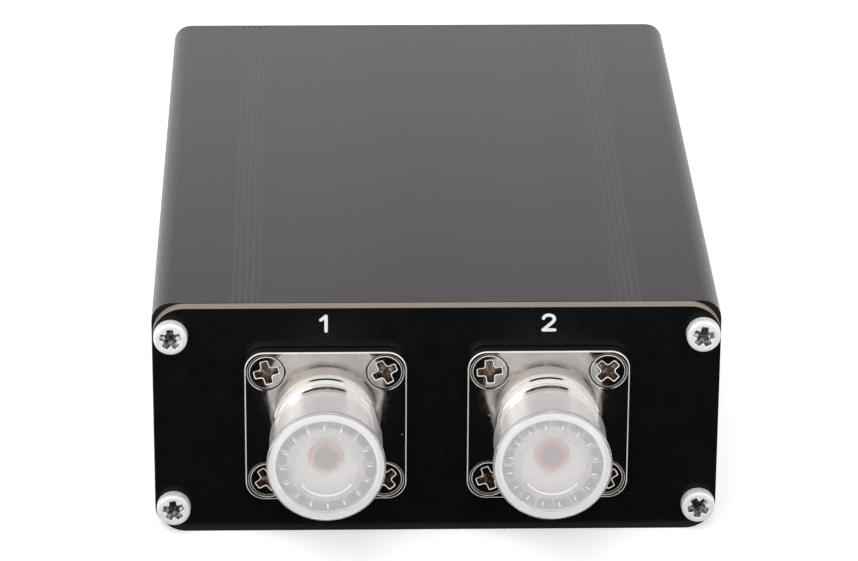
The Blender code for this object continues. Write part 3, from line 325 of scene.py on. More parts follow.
NICKEL = Finish(
    "bright_nickel", "nickel", (0.82, 0.795, 0.77), (0.74, 0.705, 0.67), (0.07, 0.13), metallic=1.0, cloud=500.0,
    grain=1800.0, depth=1.2e-6)
DUSTY_NICKEL = Dusted(
    "dusty_nickel", "nickel", (0.83, 0.80, 0.775), (0.76, 0.725, 0.69), (0.07, 0.13), metallic=1.0, cloud=500.0,
    grain=1800.0, depth=1.2e-6, dust=(0.42, 0.43, 0.46), spacing=0.0023, speck=0.035)
# Dark nickel for the countersink walls: painted shade.
SINK_SHADE = Finish(
    "countersink_painted_shade", "nickel", (0.20, 0.18, 0.17), (0.11, 0.10, 0.095), (0.16, 0.26), metallic=1.0, cloud=900.0,
    grain=2500.0)
# Dark grey for the barrel's rim: painted shade.
RIM_SHADE = replace(SINK_SHADE, name="rim_painted_shade", colour=(0.34, 0.33, 0.34), tone=(0.26, 0.25, 0.26), gloss=(0.22, 0.34))
# Near white for the notch walls: a painted highlight.
NOTCH_HIGHLIGHT = replace(
    SINK_SHADE, name="notch_painted_highlight", colour=(0.96, 0.96, 0.97), tone=(0.92, 0.92, 0.93), gloss=(0.4, 0.5),
    metallic=0.1)
# Pale, half-metallic nickel for the neck, thread flanks and flange edge: a painted sheen.
NICKEL_SHEEN = replace(
    SINK_SHADE, name="nickel_painted_sheen", colour=(0.92, 0.90, 0.87), tone=(0.84, 0.82, 0.79), gloss=(0.34, 0.46),
    metallic=0.25, grain=3000.0)
# Near white round the flange screws' recesses: a painted highlight.
OUTLINE_HIGHLIGHT = Finish(
    "worn_bright_edge", "nickel", (1.0, 0.98, 0.95), (0.88, 0.86, 0.83), (0.36, 0.5), metallic=0.1, cloud=1800.0,
    depth=3e-6)
# Dark brown, with lighter patches, for the flange screws' cross recesses: painted shade.
RECESS_SHADE = Finish(
    "cross_recess_painted_shade", "nickel", (0.74, 0.63, 0.55), (0.20, 0.14, 0.105), (0.14, 0.26), metallic=1.0, cloud=1500.0,
    depth=2e-5)
ZINC = Finish(
    "bright_zinc", "zinc", (0.95, 0.95, 0.955), (0.86, 0.86, 0.865), (0.42, 0.56), metallic=0.3, cloud=1400.0,
    grain=3500.0, depth=6e-6)
# Bright zinc with dark patches for the corner screws' recesses: painted shade.
ZINC_SHADE = Finish(
    "zinc_painted_shade", "zinc", (0.92, 0.91, 0.90), (0.27, 0.26, 0.25), (0.18, 0.34), metallic=1.0, cloud=1700.0,
    grain=3000.0, depth=3e-5)
POLYTHENE = Finish(
    "milky_polythene_face", "cap_milky", (0.97, 0.955, 0.965), (0.95, 0.935, 0.95), (0.22, 0.27), grain=1500.0,
    depth=1e-6, ior=1.3, transmission=0.45, alpha=0.5)
# Greyer polythene for the ring round the cap's dish: painted shade.
SHADED_RING_POLYTHENE = replace(
    POLYTHENE, name="milky_polythene_ring", colour=(0.90, 0.87, 0.91), tone=(0.86, 0.83, 0.875), gloss=(0.12, 0.16),
    cloud=500.0, transmission=0.3, alpha=0.4)
# Finish of the lip, also used for a painted glint at the lower edge of the dish.
LIP_AND_GLINT_POLYTHENE = replace(POLYTHENE, name="milky_polythene_lip", gloss=(0.2, 0.25), transmission=0.2, alpha=0.8)
POLYTHENE_EDGE = replace(
    POLYTHENE, name="clear_polythene_edge", colour=(0.98, 0.975, 0.98), tone=(0.96, 0.955, 0.96),
    gloss=(0.04, 0.08), ior=1.4, transmission=0.9, alpha=1.0)
POLYTHENE_SKIRT = replace(
    POLYTHENE, name="milky_polythene_skirt", colour=(0.97, 0.945, 0.945), tone=(0.94, 0.915, 0.92),
    gloss=(0.16, 0.2), transmission=0.2, alpha=0.32)
PRESSED_MARK = Finish(
    "pressed_polythene_mark", "cap_milky", (0.98, 0.975, 0.98), (0.94, 0.935, 0.94), (0.3, 0.4), cloud=900.0,
    grain=3000.0, depth=1e-6)
FLUOROPOLYMER = Finish(
    "white_fluoropolymer", "insulator_white", (0.86, 0.85, 0.82), (0.80, 0.79, 0.76), (0.4, 0.5), cloud=400.0,
    grain=3000.0, depth=3e-6)
BRASS = Finish(
    "contact_brass", "contact_brass", (0.78, 0.36, 0.24), (0.68, 0.31, 0.20), (0.34, 0.44), metallic=0.4,
    cloud=600.0, grain=3000.0)
GILT = Finish(
    "gilt_contact", "contact_brass", (0.88, 0.66, 0.30), (0.78, 0.56, 0.24), (0.14, 0.22), metallic=1.0,
    cloud=900.0, depth=1e-6)
BLACK_MOULDING = Finish(
    "black_moulding", "black_plastic", (0.014, 0.014, 0.015), (0.02, 0.02, 0.021), (0.36, 0.46), cloud=400.0,
    grain=7000.0, depth=6e-6)
BUTTON_MOULDING = replace(
    BLACK_MOULDING, name="satin_black_moulding", colour=(0.024, 0.024, 0.026), tone=(0.03, 0.03, 0.032),
    gloss=(0.3, 0.4), depth=4e-6)
DARK_GLASS = Finish(
    "dark_display_glass", "display_glass", (0.004, 0.005, 0.008), (0.006, 0.007, 0.010), (0.05, 0.09), cloud=200.0,
    grain=900.0, depth=4e-7, coat=1.0)
DISPLAY_AREA = Finish(
    "display_area", "display_glass", (0.016, 0.020, 0.026), (0.022, 0.026, 0.034), (0.18, 0.26), cloud=200.0,
    grain=5000.0, depth=1e-6)
GREEN_MASK = Finish(
    "green_solder_mask", "board_green", (0.012, 0.11, 0.035), (0.02, 0.16, 0.055), (0.2, 0.32), cloud=350.0,
    grain=2500.0, depth=4e-6)
RELAY_BLUE = Finish(
    "blue_relay_case", "relay_blue", (0.012, 0.06, 0.30), (0.018, 0.08, 0.36), (0.22, 0.32), grain=3500.0,
    depth=3e-6)
ENAMELLED_COPPER = Finish(
    "enamelled_copper", "copper", (0.62, 0.22, 0.07), (0.50, 0.16, 0.05), (0.15, 0.26), metallic=1.0, cloud=500.0,
    grain=2500.0)
RED_CORE = Finish(
    "red_powder_core", "core_red", (0.42, 0.03, 0.02), (0.34, 0.022, 0.016), (0.4, 0.55), cloud=500.0, grain=3500.0,
    depth=1e-5)
FERRITE = Finish(
    "bare_ferrite", "ferrite", (0.05, 0.05, 0.054), (0.075, 0.074, 0.078), (0.5, 0.65), cloud=700.0, grain=5000.0,
    depth=1e-5)
SLEEVE = Finish("can_sleeve", "can_sleeve", (0.01, 0.014, 0.05), (0.014, 0.018, 0.06), (0.2, 0.3), grain=2500.0)
FOIL = Finish(
    "battery_foil", "battery_foil", (0.60, 0.61, 0.63), (0.50, 0.51, 0.53), (0.3, 0.42), metallic=0.9, cloud=150.0,
    grain=700.0, depth=2e-5)
TINNED_STEEL = Finish(
    "tinned_steel", "steel", (0.66, 0.66, 0.66), (0.56, 0.56, 0.57), (0.2, 0.3), metallic=1.0, cloud=500.0)


# Making meshes


def opened(mesh: Mesh) -> Shape:
    """Reads a mesh into a new bmesh.

    Args:
        mesh: The mesh.

    Returns:
        The bmesh.
    """
    shape = bmesh.new()
    shape.from_mesh(mesh)
    return shape


def kept(name: str, shape: Shape) -> Mesh:
    """Turns a finished bmesh into a mesh with smooth faces and sharp corners.

    Args:
        name: Name of the mesh.
        shape: The bmesh, which is freed.

    Returns:
        The mesh.
    """
    mesh = bpy.data.meshes.new(name)
    shape.to_mesh(mesh)
    shape.free()
    mesh.shade_smooth()
    mesh.set_sharp_from_angle(angle=SMOOTH_ANGLE)
    return mesh


def closed_up(shape: Shape) -> None:
    """Merges doubles and turns all faces outward."""
    bmesh.ops.remove_doubles(shape, verts=shape.verts[:], dist=MERGE)
    bmesh.ops.recalc_face_normals(shape, faces=shape.faces[:])


def bevel(shape: Shape, chosen: list, width: float, steps: int, kind: str = "EDGES") -> None:
    """Rounds the chosen edges or points of a bmesh."""
    bmesh.ops.bevel(shape, geom=chosen, offset=width, offset_type="OFFSET", segments=steps, profile=0.5,
                    affect=kind, material=-1, clamp_overlap=True)


def draw_line(shape: Shape, corners: Line, closed: bool, steps: int = 4) -> None:
    """Draws a line in the XZ plane and rounds its corners.

    Args:
        shape: The bmesh to draw in.
        corners: Place along X and along Z of each corner and, where it is rounded, its rounding.
        closed: Whether the last corner joins the first.
        steps: Segments of each rounding.
    """
    points = [shape.verts.new((corner[0], 0.0, corner[1])) for corner in corners]
    for start, end in zip(points, points[1:] + points[:1] if closed else points[1:]):
        shape.edges.new((start, end))
    for size in sorted({corner[2] for corner in corners if len(corner) > 2}):
        bevel(shape, [point for point, corner in zip(points, corners) if corner[2:] == (size,)], size, steps,
              "VERTICES")


def turned(name: str, corners: Line, steps: int = 64, closed: bool = False) -> Mesh:
    """Turns a profile round the Z axis.

    Args:
        name: Name of the mesh.
        corners: Radius and height of each corner and, where it is rounded, its rounding.
        steps: Segments of the turn.
        closed: Whether the profile is a ring clear of the axis.

    Returns:
        The turned mesh.
    """
    shape = bmesh.new()
    draw_line(shape, corners, closed)
    bmesh.ops.spin(shape, geom=shape.verts[:] + shape.edges[:], cent=ORIGIN, axis=WORLD_Z, angle=math.tau,
                   steps=steps, use_merge=True, use_duplicate=False)
    closed_up(shape)
    return kept(name, shape)


def extruded(name: str, corners: Line, top: float, depth: float, taper: float = 1.0, steps: int = 4) -> Mesh:
    """Extrudes a flat outline downward.

    Args:
        name: Name of the mesh.
        corners: X and Y of each corner and, where it is rounded, its rounding.
        top: Height of the outline.
        depth: How far it reaches down.
        taper: Size of the lower face as a share of the upper one.
        steps: Segments of each rounding.

    Returns:
        The solid's mesh.
    """
    shape = bmesh.new()
    draw_line(shape, corners, True, steps)
    bmesh.ops.rotate(shape, verts=shape.verts[:], cent=ORIGIN, matrix=Matrix.Rotation(-math.pi / 2, 3, "X"))
    bmesh.ops.translate(shape, verts=shape.verts[:], vec=(0.0, 0.0, top))
    upper = bmesh.ops.edgeloop_fill(shape, edges=shape.edges[:])["faces"]
    lower = bmesh.ops.extrude_face_region(shape, geom=upper, use_keep_orig=True)["geom"]
    moved = [item for item in lower if isinstance(item, bmesh.types.BMVert)]
    bmesh.ops.scale(shape, verts=moved, vec=(taper, taper, 1.0))
    bmesh.ops.translate(shape, verts=moved, vec=(0.0, 0.0, -depth))
    closed_up(shape)
    return kept(name, shape)


def spun_corners(corners: Line, count: int, first: float = 0.0) -> list[Triple]:
    """Repeats corners round the origin.

    Args:
        corners: X, Y and rounding of the corners of one share of the turn.
        count: Number of shares.
        first: Angle of the first share.

    Returns:
        The corners of the whole outline.
    """
    outline = []
    for index in range(count):
        turn = Matrix.Rotation(first + index * math.tau / count, 2)
        outline += [(*(turn @ Vector((x, y))), rounding) for x, y, rounding in corners]
    return outline


def stroke(start: Vector, end: Vector, width: float, rise: float) -> Mesh:
    """Makes one flat straight stroke with round ends.

    Args:
        start: One end, on the XY plane.
        end: The other end.
        width: Width of the stroke.
        rise: Height of its face over the plane.

    Returns:
        The stroke's mesh.
    """
    half = width / 2
    along = (end - start).length / 2 + half
    corners = [(x, y, half * 0.999) for x, y in ((along, -half), (along, half), (-along, half), (-along, -half))]
    mesh = extruded("stroke", corners, rise, rise, steps=6)
    angle = math.atan2(end.y - start.y, end.x - start.x)
    mesh.transform(Matrix.Translation(((start + end) / 2).to_3d()) @ Matrix.Rotation(angle, 4, "Z"))
    return mesh


def plate(name: str, width: float, height: float, top: float, thickness: float, corner: float = 0.0,
          edge: float = 0.0, edge_steps: int = 2) -> Mesh:
    """Makes a flat plate with rounded corners and eased edges.

    Args:
        name: Name of the mesh.
        width: Size along X.
        height: Size along Y.
        top: Height of the upper face.
        thickness: Size along Z.
        corner: Radius of the four corners.
        edge: Width of the easing along the upper and lower rims.
        edge_steps: Segments of the easing.

    Returns:
        The plate's mesh.
    """
    def rise(side: Edge) -> float:
        """Gives an edge's height."""
        return abs(side.verts[0].co.z - side.verts[1].co.z)
    shape = bmesh.new()
    size = Matrix.Diagonal((width, height, thickness, 1.0))
    bmesh.ops.create_cube(shape, size=1.0, matrix=Matrix.Translation((0.0, 0.0, top - thickness / 2)) @ size)
    if corner:
        bevel(shape, [side for side in shape.edges if rise(side) > thickness / 2], corner, 10)
    if edge:
        bevel(shape, [side for side in shape.edges if rise(side) < MERGE], edge, edge_steps)
    return kept(name, shape)


def flattened(name: str, mesh: Mesh) -> Mesh:
    """Merges a mesh's doubles, and its faces that lie in one plane and share a finish.

    Args:
        name: Name of the new mesh.
        mesh: The mesh.

    Returns:
        The new mesh.
    """
    shape = opened(mesh)
    bmesh.ops.remove_doubles(shape, verts=shape.verts[:], dist=MERGE)
    bmesh.ops.dissolve_limit(shape, angle_limit=FLAT_ANGLE, verts=shape.verts[:], edges=shape.edges[:],
                             delimit={"MATERIAL"})
    return kept(name, shape)


def worked(base: Mesh, tool: Mesh, way: Joinery) -> Mesh:
    """Works one solid with another.

    Args:
        base: Mesh to work on.
        tool: Mesh to join, cut with or keep within.
        way: How the two are worked.

    Returns:
        The new mesh.
    """
    piece, helper = linked(base.name, base), linked("helper", tool)
    boolean = piece.modifiers.new("Work", "BOOLEAN")
    boolean.operation = way.value
    boolean.solver = "EXACT"
    boolean.object = helper
    mesh = bpy.data.meshes.new_from_object(piece.evaluated_get(bpy.context.evaluated_depsgraph_get()))
    for thing in (piece, helper):
        bpy.data.objects.remove(thing, do_unlink=True)
    return flattened(base.name, mesh)


def gathered(name: str, mesh: Mesh, places: Iterable[Matrix]) -> Mesh:
    """Repeats a mesh at several places.

    Args:
        name: Name of the new mesh.
        mesh: Mesh to repeat.
        places: Where each copy goes.

    Returns:
        One mesh that holds all copies.
    """
    shape = bmesh.new()
    for place in places:
        copy = placed(mesh.name, mesh, place)
        shape.from_mesh(copy)
        bpy.data.meshes.remove(copy)
    return kept(name, shape)


def placed(name: str, mesh: Mesh, place: Matrix) -> Mesh:
    """Copies a mesh to its place.

    Args:
        name: Name of the copy.
        mesh: Mesh to copy.
        place: Where the copy goes.

    Returns:
        The copy.
    """
    copy = mesh.copy()
    copy.name = name
    copy.transform(place)
    return copy


def merged(node: str) -> Mesh:
    """Copies a CAD node's mesh and merges it into flat faces."""
    return flattened(node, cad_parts[node].data)


def eased(mesh: Mesh, width: float, chosen: EdgeTest | None = None, steps: int = 2) -> Mesh:
    """Eases the sharp edges of a mesh.

    Args:
        mesh: Mesh to ease.
        width: Width of the easing.
        chosen: Test that picks the edges, or None for every sharp one.
        steps: Segments of the easing.

    Returns:
        The new mesh.
    """
    shape = opened(mesh)
    sharp = [side for side in shape.edges if side.is_manifold and side.calc_face_angle() > SMOOTH_ANGLE
             and (chosen is None or chosen(side))]
    bevel(shape, sharp, width, steps)
    return kept(mesh.name, shape)


def refined(node: str, width: float, chosen: EdgeTest | None = None, steps: int = 2) -> Mesh:
    """Copies a CAD node's mesh and eases its sharp edges."""
    return eased(merged(node), width, chosen, steps)


def painted_by(mesh: Mesh, finishes: Sequence[Finish], finish: Finish, chosen: Callable[[Face], bool]) -> None:
    """Gives the chosen faces of a mesh another of its finishes.

    Args:
        mesh: Mesh whose faces are changed.
        finishes: All finishes of the mesh.
        finish: The one for these faces.
        chosen: Test that picks the faces.
    """
    index = finishes.index(finish)
    for face in mesh.polygons:
        if chosen(face):
            face.material_index = index


# Placing pieces


def linked(name: str, data: bpy.types.ID) -> bpy.types.Object:
    """Adds an object to the scene.

    Args:
        name: Name of the object.
        data: Its mesh, lamp or camera.

    Returns:
        The object.
    """
    thing = bpy.data.objects.new(name, data)
    bpy.context.scene.collection.objects.link(thing)
    return thing


def middle_of(node: str) -> Vector:
    """Gives the middle of a CAD node's box."""
    low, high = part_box(node)
    return (low + high) / 2


def front_of(node: str, end: End) -> Matrix:
    """Gives the frame of a node at one end of the case.

    Args:
        node: Name of the CAD node.
        end: The end that the node faces.

    Returns:
        The frame, whose origin is in the middle of the node's outermost plane, with X across, Y up and Z outward.
    """
    low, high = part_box(node)
    middle = middle_of(node)
    middle.y = low.y if end is End.CONNECTOR else high.y
    return Matrix.Translation(middle) @ end.outward()


def spun_by(degrees: float) -> Matrix:
    """Gives a turn about a piece's own Z."""
    return Matrix.Rotation(math.radians(degrees), 4, "Z")


def add_piece(name: str, mesh: Mesh, finishes: Sequence[Finish], body: str, *stands_for: str) -> None:
    """Adds a finished piece to the model.

    Args:
        name: Name of the piece.
        mesh: Its mesh, in place.
        finishes: Its finishes, one for each material index of the mesh.
        body: Body that carries it.
        stands_for: CAD nodes that it replaces.
    """
    mesh.name = name
    while len(mesh.materials) < len(finishes):
        mesh.materials.append(None)
    for index, finish in enumerate(finishes):
        mesh.materials[index] = finish.paint()
    piece = linked(name, mesh)
    piece.modifiers.new("Shading", "WEIGHTED_NORMAL").keep_sharp = True
    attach(piece, body)
    if stands_for:
        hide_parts(*stands_for)
    log.info("%s on %s, %d faces", name, body, len(mesh.polygons))


def stand_in(name: str, mesh: Mesh, finishes: Sequence[Finish], body: str, node: str, end: End,
             turn: float = 0.0) -> None:
    """Adds a copy of a mesh, turned by some degrees, in place of a CAD node at one end of the case."""
    add_piece(name, placed(node, mesh, front_of(node, end) @ spun_by(turn)), finishes, body, node)


# Case


@dataclass
class Case:
    """Two extruded halves that lap at mid height."""

    edge: float = 0.00005
    groove_from: float = 0.025
    groove_to: float = 0.034
    web_thickness: float = 0.0003
    web_depth: float = 0.0007
    web_drop: float = 0.00002
    web_inset: float = 0.00001
    finishes: tuple = (ANODISED, GROOVE, CASE_END_SHADE)

    def build(self) -> dict[str, Mesh]:
        """Makes the meshes of both halves.

        Returns:
            Each half's mesh by its name.
        """
        def at_end(side: Edge) -> bool:
            """Picks the edges that lie in an end face."""
            first, second = (point.co for point in side.verts)
            return abs(first.y - second.y) < MERGE
        halves = {half: refined(f"{half}_shell", self.edge, at_end) for half in ("upper", "lower")}
        halves["upper"] = worked(halves["upper"], self.groove_webs(), Joinery.JOIN)
        return halves

    def groove_webs(self) -> Mesh:
        """Makes the thin webs that close the top's grooves at the control end.

        Returns:
            The two webs, in place.
        """
        _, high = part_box("upper_shell")
        web = plate("groove_web", self.groove_to - self.groove_from, self.web_thickness, 0.0, self.web_depth)
        middle = (self.groove_from + self.groove_to) / 2
        along = high.y - self.edge - self.web_thickness / 2 - self.web_inset
        places = [Matrix.Translation((side * middle, along, high.z - self.web_drop)) for side in (-1.0, 1.0)]
        return gathered("groove_webs", web, places)

    def in_groove(self, face: Face) -> bool:
        """Picks the sloping walls of the grooves."""
        outside = min(face.center.z - CAD_BOX[0].z, CAD_BOX[1].z - face.center.z) < REACH
        return outside and self.groove_from < abs(face.center.x) < self.groove_to and abs(face.normal.x) > 0.3

    def dress(self) -> None:
        """Adds both halves."""
        for half, mesh in self.build().items():
            painted_by(mesh, self.finishes, GROOVE, self.in_groove)
            # The end faces, and the ends of the groove webs, are painted near black as painted shade.
            painted_by(mesh, self.finishes, CASE_END_SHADE, lambda face: abs(face.normal.y) > 0.9)
            add_piece(f"{half}_case_half", mesh, self.finishes, "case", f"{half}_shell")


@dataclass
class EndPanels:
    """Circuit board blanks that close both ends, with their cut edges left bare."""

    edge: float = 0.0001
    corner: float = 0.0048
    corner_ring: float = 0.0008
    ink_height: float = 0.0025
    ink_width: float = 0.00052
    ink_rise: float = 0.00002
    ink_step: float = 0.0000015
    ink_base: float = 0.01516
    one: tuple = ((-0.28, 0.74), (0.04, 1.0), (0.04, 0.0))
    two: tuple = ((-0.34, 0.78), (-0.29, 0.89), (-0.18, 0.97), (-0.03, 1.0), (0.12, 0.98), (0.25, 0.91), (0.32, 0.8),
                  (0.32, 0.68), (0.26, 0.56), (-0.36, 0.0), (0.36, 0.0))
    finishes: tuple = (MASK, BOARD_EDGE)

    def corner_rings(self, node: str) -> Mesh:
        """Makes fine rings that round off a panel's corners, which have few steps in the CAD.

        Args:
            node: Name of the panel's CAD node.

        Returns:
            The four rings, in place.
        """
        low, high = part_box(node)
        corner, inner, depth = self.corner, self.corner - self.corner_ring, high.y - low.y
        ring = turned("corner_ring", [(inner, 0.0), (corner, 0.0), (corner, depth), (inner, depth)], 120, True)
        places = [Matrix.Translation((x, low.y, z)) @ UPRIGHT.transposed()
                  for x in (low.x + corner, high.x - corner) for z in (low.z + corner, high.z - corner)]
        return gathered("corner_rings", ring, places)

    def number(self, line: tuple) -> Mesh:
        """Draws a number in strokes of ink.

        Args:
            line: Points of the number, in shares of its height.

        Returns:
            The ink's mesh, with the middle of its foot at the origin.
        """
        points = [Vector(point) * self.ink_height for point in line]
        shape = bmesh.new()
        for index, (start, end) in enumerate(zip(points, points[1:])):
            shape.from_mesh(stroke(start, end, self.ink_width, self.ink_rise + index * self.ink_step))
        return kept("number", shape)

    def dress(self) -> None:
        """Adds both panels and the numbers over the sockets."""
        for label in ("connector", "control"):
            node = f"{label}_panel"
            board = eased(worked(merged(node), self.corner_rings(node), Joinery.JOIN), self.edge)
            painted_by(board, self.finishes, BOARD_EDGE, lambda face: abs(face.normal.y) < 0.5)
            add_piece(f"{label}_panel_board", board, self.finishes, "case", node)
        for side, line in (("left", self.one), ("right", self.two)):
            shift = Matrix.Translation((middle_of(f"{side}_socket_shell").x, self.ink_base, 0.0))
            mesh = placed(side, self.number(line), front_of("connector_panel", End.CONNECTOR) @ shift)
            add_piece(f"{side}_number", mesh, [INK], "case")


# Screws


@dataclass
class RecessedScrews:
    """Screws with a recess in the head, whose face is at height zero."""

    recess_reach: float = 0.002
    recess_depth: float = 0.001
    mouth_edge: float = 0.0001
    steps: int = 48
    finishes: tuple = ()

    def recessed(self, screw: Mesh, *cutters: Mesh) -> Mesh:
        """Cuts the recess, with a small bevel round its mouth.

        Args:
            screw: The screw without its recess.
            cutters: Solids that are cut out of the head.

        Returns:
            The screw, whose recess has the second finish.
        """
        for cutter in cutters:
            screw = worked(screw, cutter, Joinery.CUT)
        shape = opened(screw)
        mouth = [side for side in shape.edges if all(abs(point.co.z) < MERGE for point in side.verts)
                 and (side.verts[0].co + side.verts[1].co).length / 2 < self.recess_reach]
        bevel(shape, mouth, self.mouth_edge, 1)
        screw = kept(screw.name, shape)
        # The recess gets the second finish, which is painted darker as painted shade.
        painted_by(screw, self.finishes, self.finishes[1],
                   lambda face: -self.recess_depth - MERGE < face.center.z < -self.mouth_edge
                   and face.center.xy.length < self.recess_reach)
        return screw


@dataclass
class CornerScrews(RecessedScrews):
    """Pan-head screws with a five-lobed recess at the corners of both panels."""

    radius: float = 0.00264
    height: float = 0.0017
    face_inset: float = 0.00034
    shoulder_inset: float = 0.00006
    shoulder_drop: float = 0.00026
    side_drop: float = 0.0008
    shank: float = 0.00125
    length: float = 0.0085
    rounding: float = 0.0002
    lobe_reach: float = 0.00168
    lobe_half: float = 0.00052
    lobe_rounding: float = 0.00012
    waist: float = 0.001
    lobes: int = 5
    recess_reach: float = 0.00188
    recess_depth: float = 0.0011
    recess_taper: float = 0.72
    mouth_edge: float = 0.00007
    turns: tuple = (2.0, -6.0, 5.0, 30.0, 5.0, 22.0, -14.0, 40.0)
    finishes: tuple = (ZINC, ZINC_SHADE)

    def star(self) -> Mesh:
        """Makes the cutter of the recess, whose blunt lobes narrow as they go down.

        Returns:
            The cutter's mesh.
        """
        waist = Matrix.Rotation(math.pi / self.lobes, 2) @ Vector((self.waist, 0.0))
        lobe = [(self.lobe_reach, -self.lobe_half, self.lobe_rounding),
                (self.lobe_reach, self.lobe_half, self.lobe_rounding), (*waist, self.rounding)]
        return extruded("star", spun_corners(lobe, self.lobes, math.pi / 2), CLEAR, self.recess_depth,
                        self.recess_taper)

    def build(self) -> Mesh:
        """Makes the screw.

        Returns:
            The screw's mesh.
        """
        radius, seat, tip = self.radius, -self.height, -self.height - self.length
        profile = [
            (0.0, 0.0), (radius - self.face_inset, 0.0, self.rounding),
            (radius - self.shoulder_inset, -self.shoulder_drop, self.lobe_rounding),
            (radius, -self.side_drop, self.rounding), (radius, seat), (self.shank, seat),
            (self.shank, tip, self.rounding), (0.0, tip),
        ]
        return self.recessed(turned("corner_screw", profile, self.steps), self.star())

    def dress(self) -> None:
        """Adds the eight screws, each turned as it was driven."""
        screw = self.build()
        places = [(end, number) for end in End for number in range(1, 5)]
        for (end, number), turn in zip(places, self.turns):
            label = end.name.lower()
            node = f"{label}_panel_screw_{number}"
            stand_in(f"{label}_corner_screw_{number}", screw, self.finishes, "case", node, end, turn)


@dataclass
class FlangeScrews(RecessedScrews):
    """Countersunk screws with a cross recess, and the nuts behind the panel."""

    radius: float = 0.00268
    rim: float = 0.00012
    rim_edge: float = 0.0001
    shank: float = 0.0014
    tip: float = 0.0078
    rounding: float = 0.0002
    arm: float = 0.0019
    arm_end: float = 0.9
    half_width: float = 0.0006
    fillet: float = 0.0004
    recess_reach: float = 0.0021
    recess_depth: float = 0.0015
    recess_taper: float = 0.62
    ledge_width: float = 0.00008
    ledge_depth: float = 0.00006
    ledge_taper: float = 0.98
    nut_flats: float = 0.0055
    nut_turn: float = 7.0
    nut_edge: float = 0.0003
    nut_play: float = 0.0001
    turns: tuple = (("left", (13.0, 27.0, 33.0, 40.0)), ("right", (5.0, 45.0, 20.0, 30.0)))
    finishes: tuple = (NICKEL, RECESS_SHADE, OUTLINE_HIGHLIGHT)

    def cross(self, depth: float, wider: float, taper: float) -> Mesh:
        """Makes a cutter of the recess, whose arms narrow as they go down.

        Args:
            depth: Depth of the cut.
            wider: How far the outline lies outside the recess's own.
            taper: Size at the bottom against the size at the mouth.

        Returns:
            The cutter's mesh.
        """
        arm, half = self.arm + wider, self.half_width + wider
        corners = [(arm, -half * self.arm_end, self.rounding), (arm, half * self.arm_end, self.rounding),
                   (half, half, self.fillet)]
        return extruded("cross", spun_corners(corners, 4), CLEAR, depth, taper)

    def build(self) -> Mesh:
        """Makes the screw, with a bright outline round its recess, which is a painted highlight.

        Returns:
            The screw's mesh.
        """
        profile = [
            (0.0, 0.0), (self.radius - self.rim_edge, 0.0), (self.radius, -self.rim_edge), (self.radius, -self.rim),
            (self.shank, -self.rim - self.radius + self.shank), (self.shank, -self.tip, self.rounding),
            (0.0, -self.tip),
        ]
        screw = self.recessed(turned("flange_screw", profile, self.steps),
                              self.cross(self.recess_depth, 0.0, self.recess_taper),
                              self.cross(self.ledge_depth, self.ledge_width, self.ledge_taper))
        # The mouth's bevel and the ledge round the recess get a painted highlight as a bright outline.
        painted_by(screw, self.finishes, OUTLINE_HIGHLIGHT,
                   lambda face: -self.mouth_edge < face.center.z < -MERGE and face.normal.z > 0.3)
        return screw

    def nut(self) -> Mesh:
        """Makes a hexagon nut whose corners are turned off, with its outer face at height zero.

        Returns:
            The nut's mesh.
        """
        low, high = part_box("left_flange_nut_1")
        thick = high.y - low.y
        corner = self.nut_flats / math.sqrt(3)
        shape = bmesh.new()
        bmesh.ops.create_cone(shape, cap_ends=True, segments=6, radius1=corner, radius2=corner, depth=thick,
                              matrix=Matrix.Translation((0.0, 0.0, -thick / 2)) @ spun_by(self.nut_turn))
        outer, ease, below = corner * 1.01, self.nut_edge, -thick - REACH
        inner = outer - 2 * ease
        envelope = [(0.0, REACH), (inner, REACH), (inner, 0.0), (outer, -ease), (outer, ease - thick),
                    (inner, -thick), (inner, below), (0.0, below)]
        nut = worked(kept("flange_nut", shape), turned("nut_envelope", envelope, self.steps), Joinery.KEEP)
        bore = self.shank + self.nut_play
        hole = [(0.0, REACH), (bore, REACH), (bore, below), (0.0, below)]
        return worked(nut, turned("nut_hole", hole, 32), Joinery.CUT)

    def dress(self) -> None:
        """Adds the eight screws and the eight nuts."""
        screw, nut = self.build(), self.nut()
        for side, turns in self.turns:
            for number, turn in enumerate(turns, 1):
                stand_in(f"{side}_countersunk_screw_{number}", screw, self.finishes, "case",
                         f"{side}_flange_screw_{number}", End.CONNECTOR, turn)
                stand_in(f"{side}_hexagon_nut_{number}", nut, [NICKEL], "case", f"{side}_flange_nut_{number}",
                         End.CONNECTOR)


# Sockets


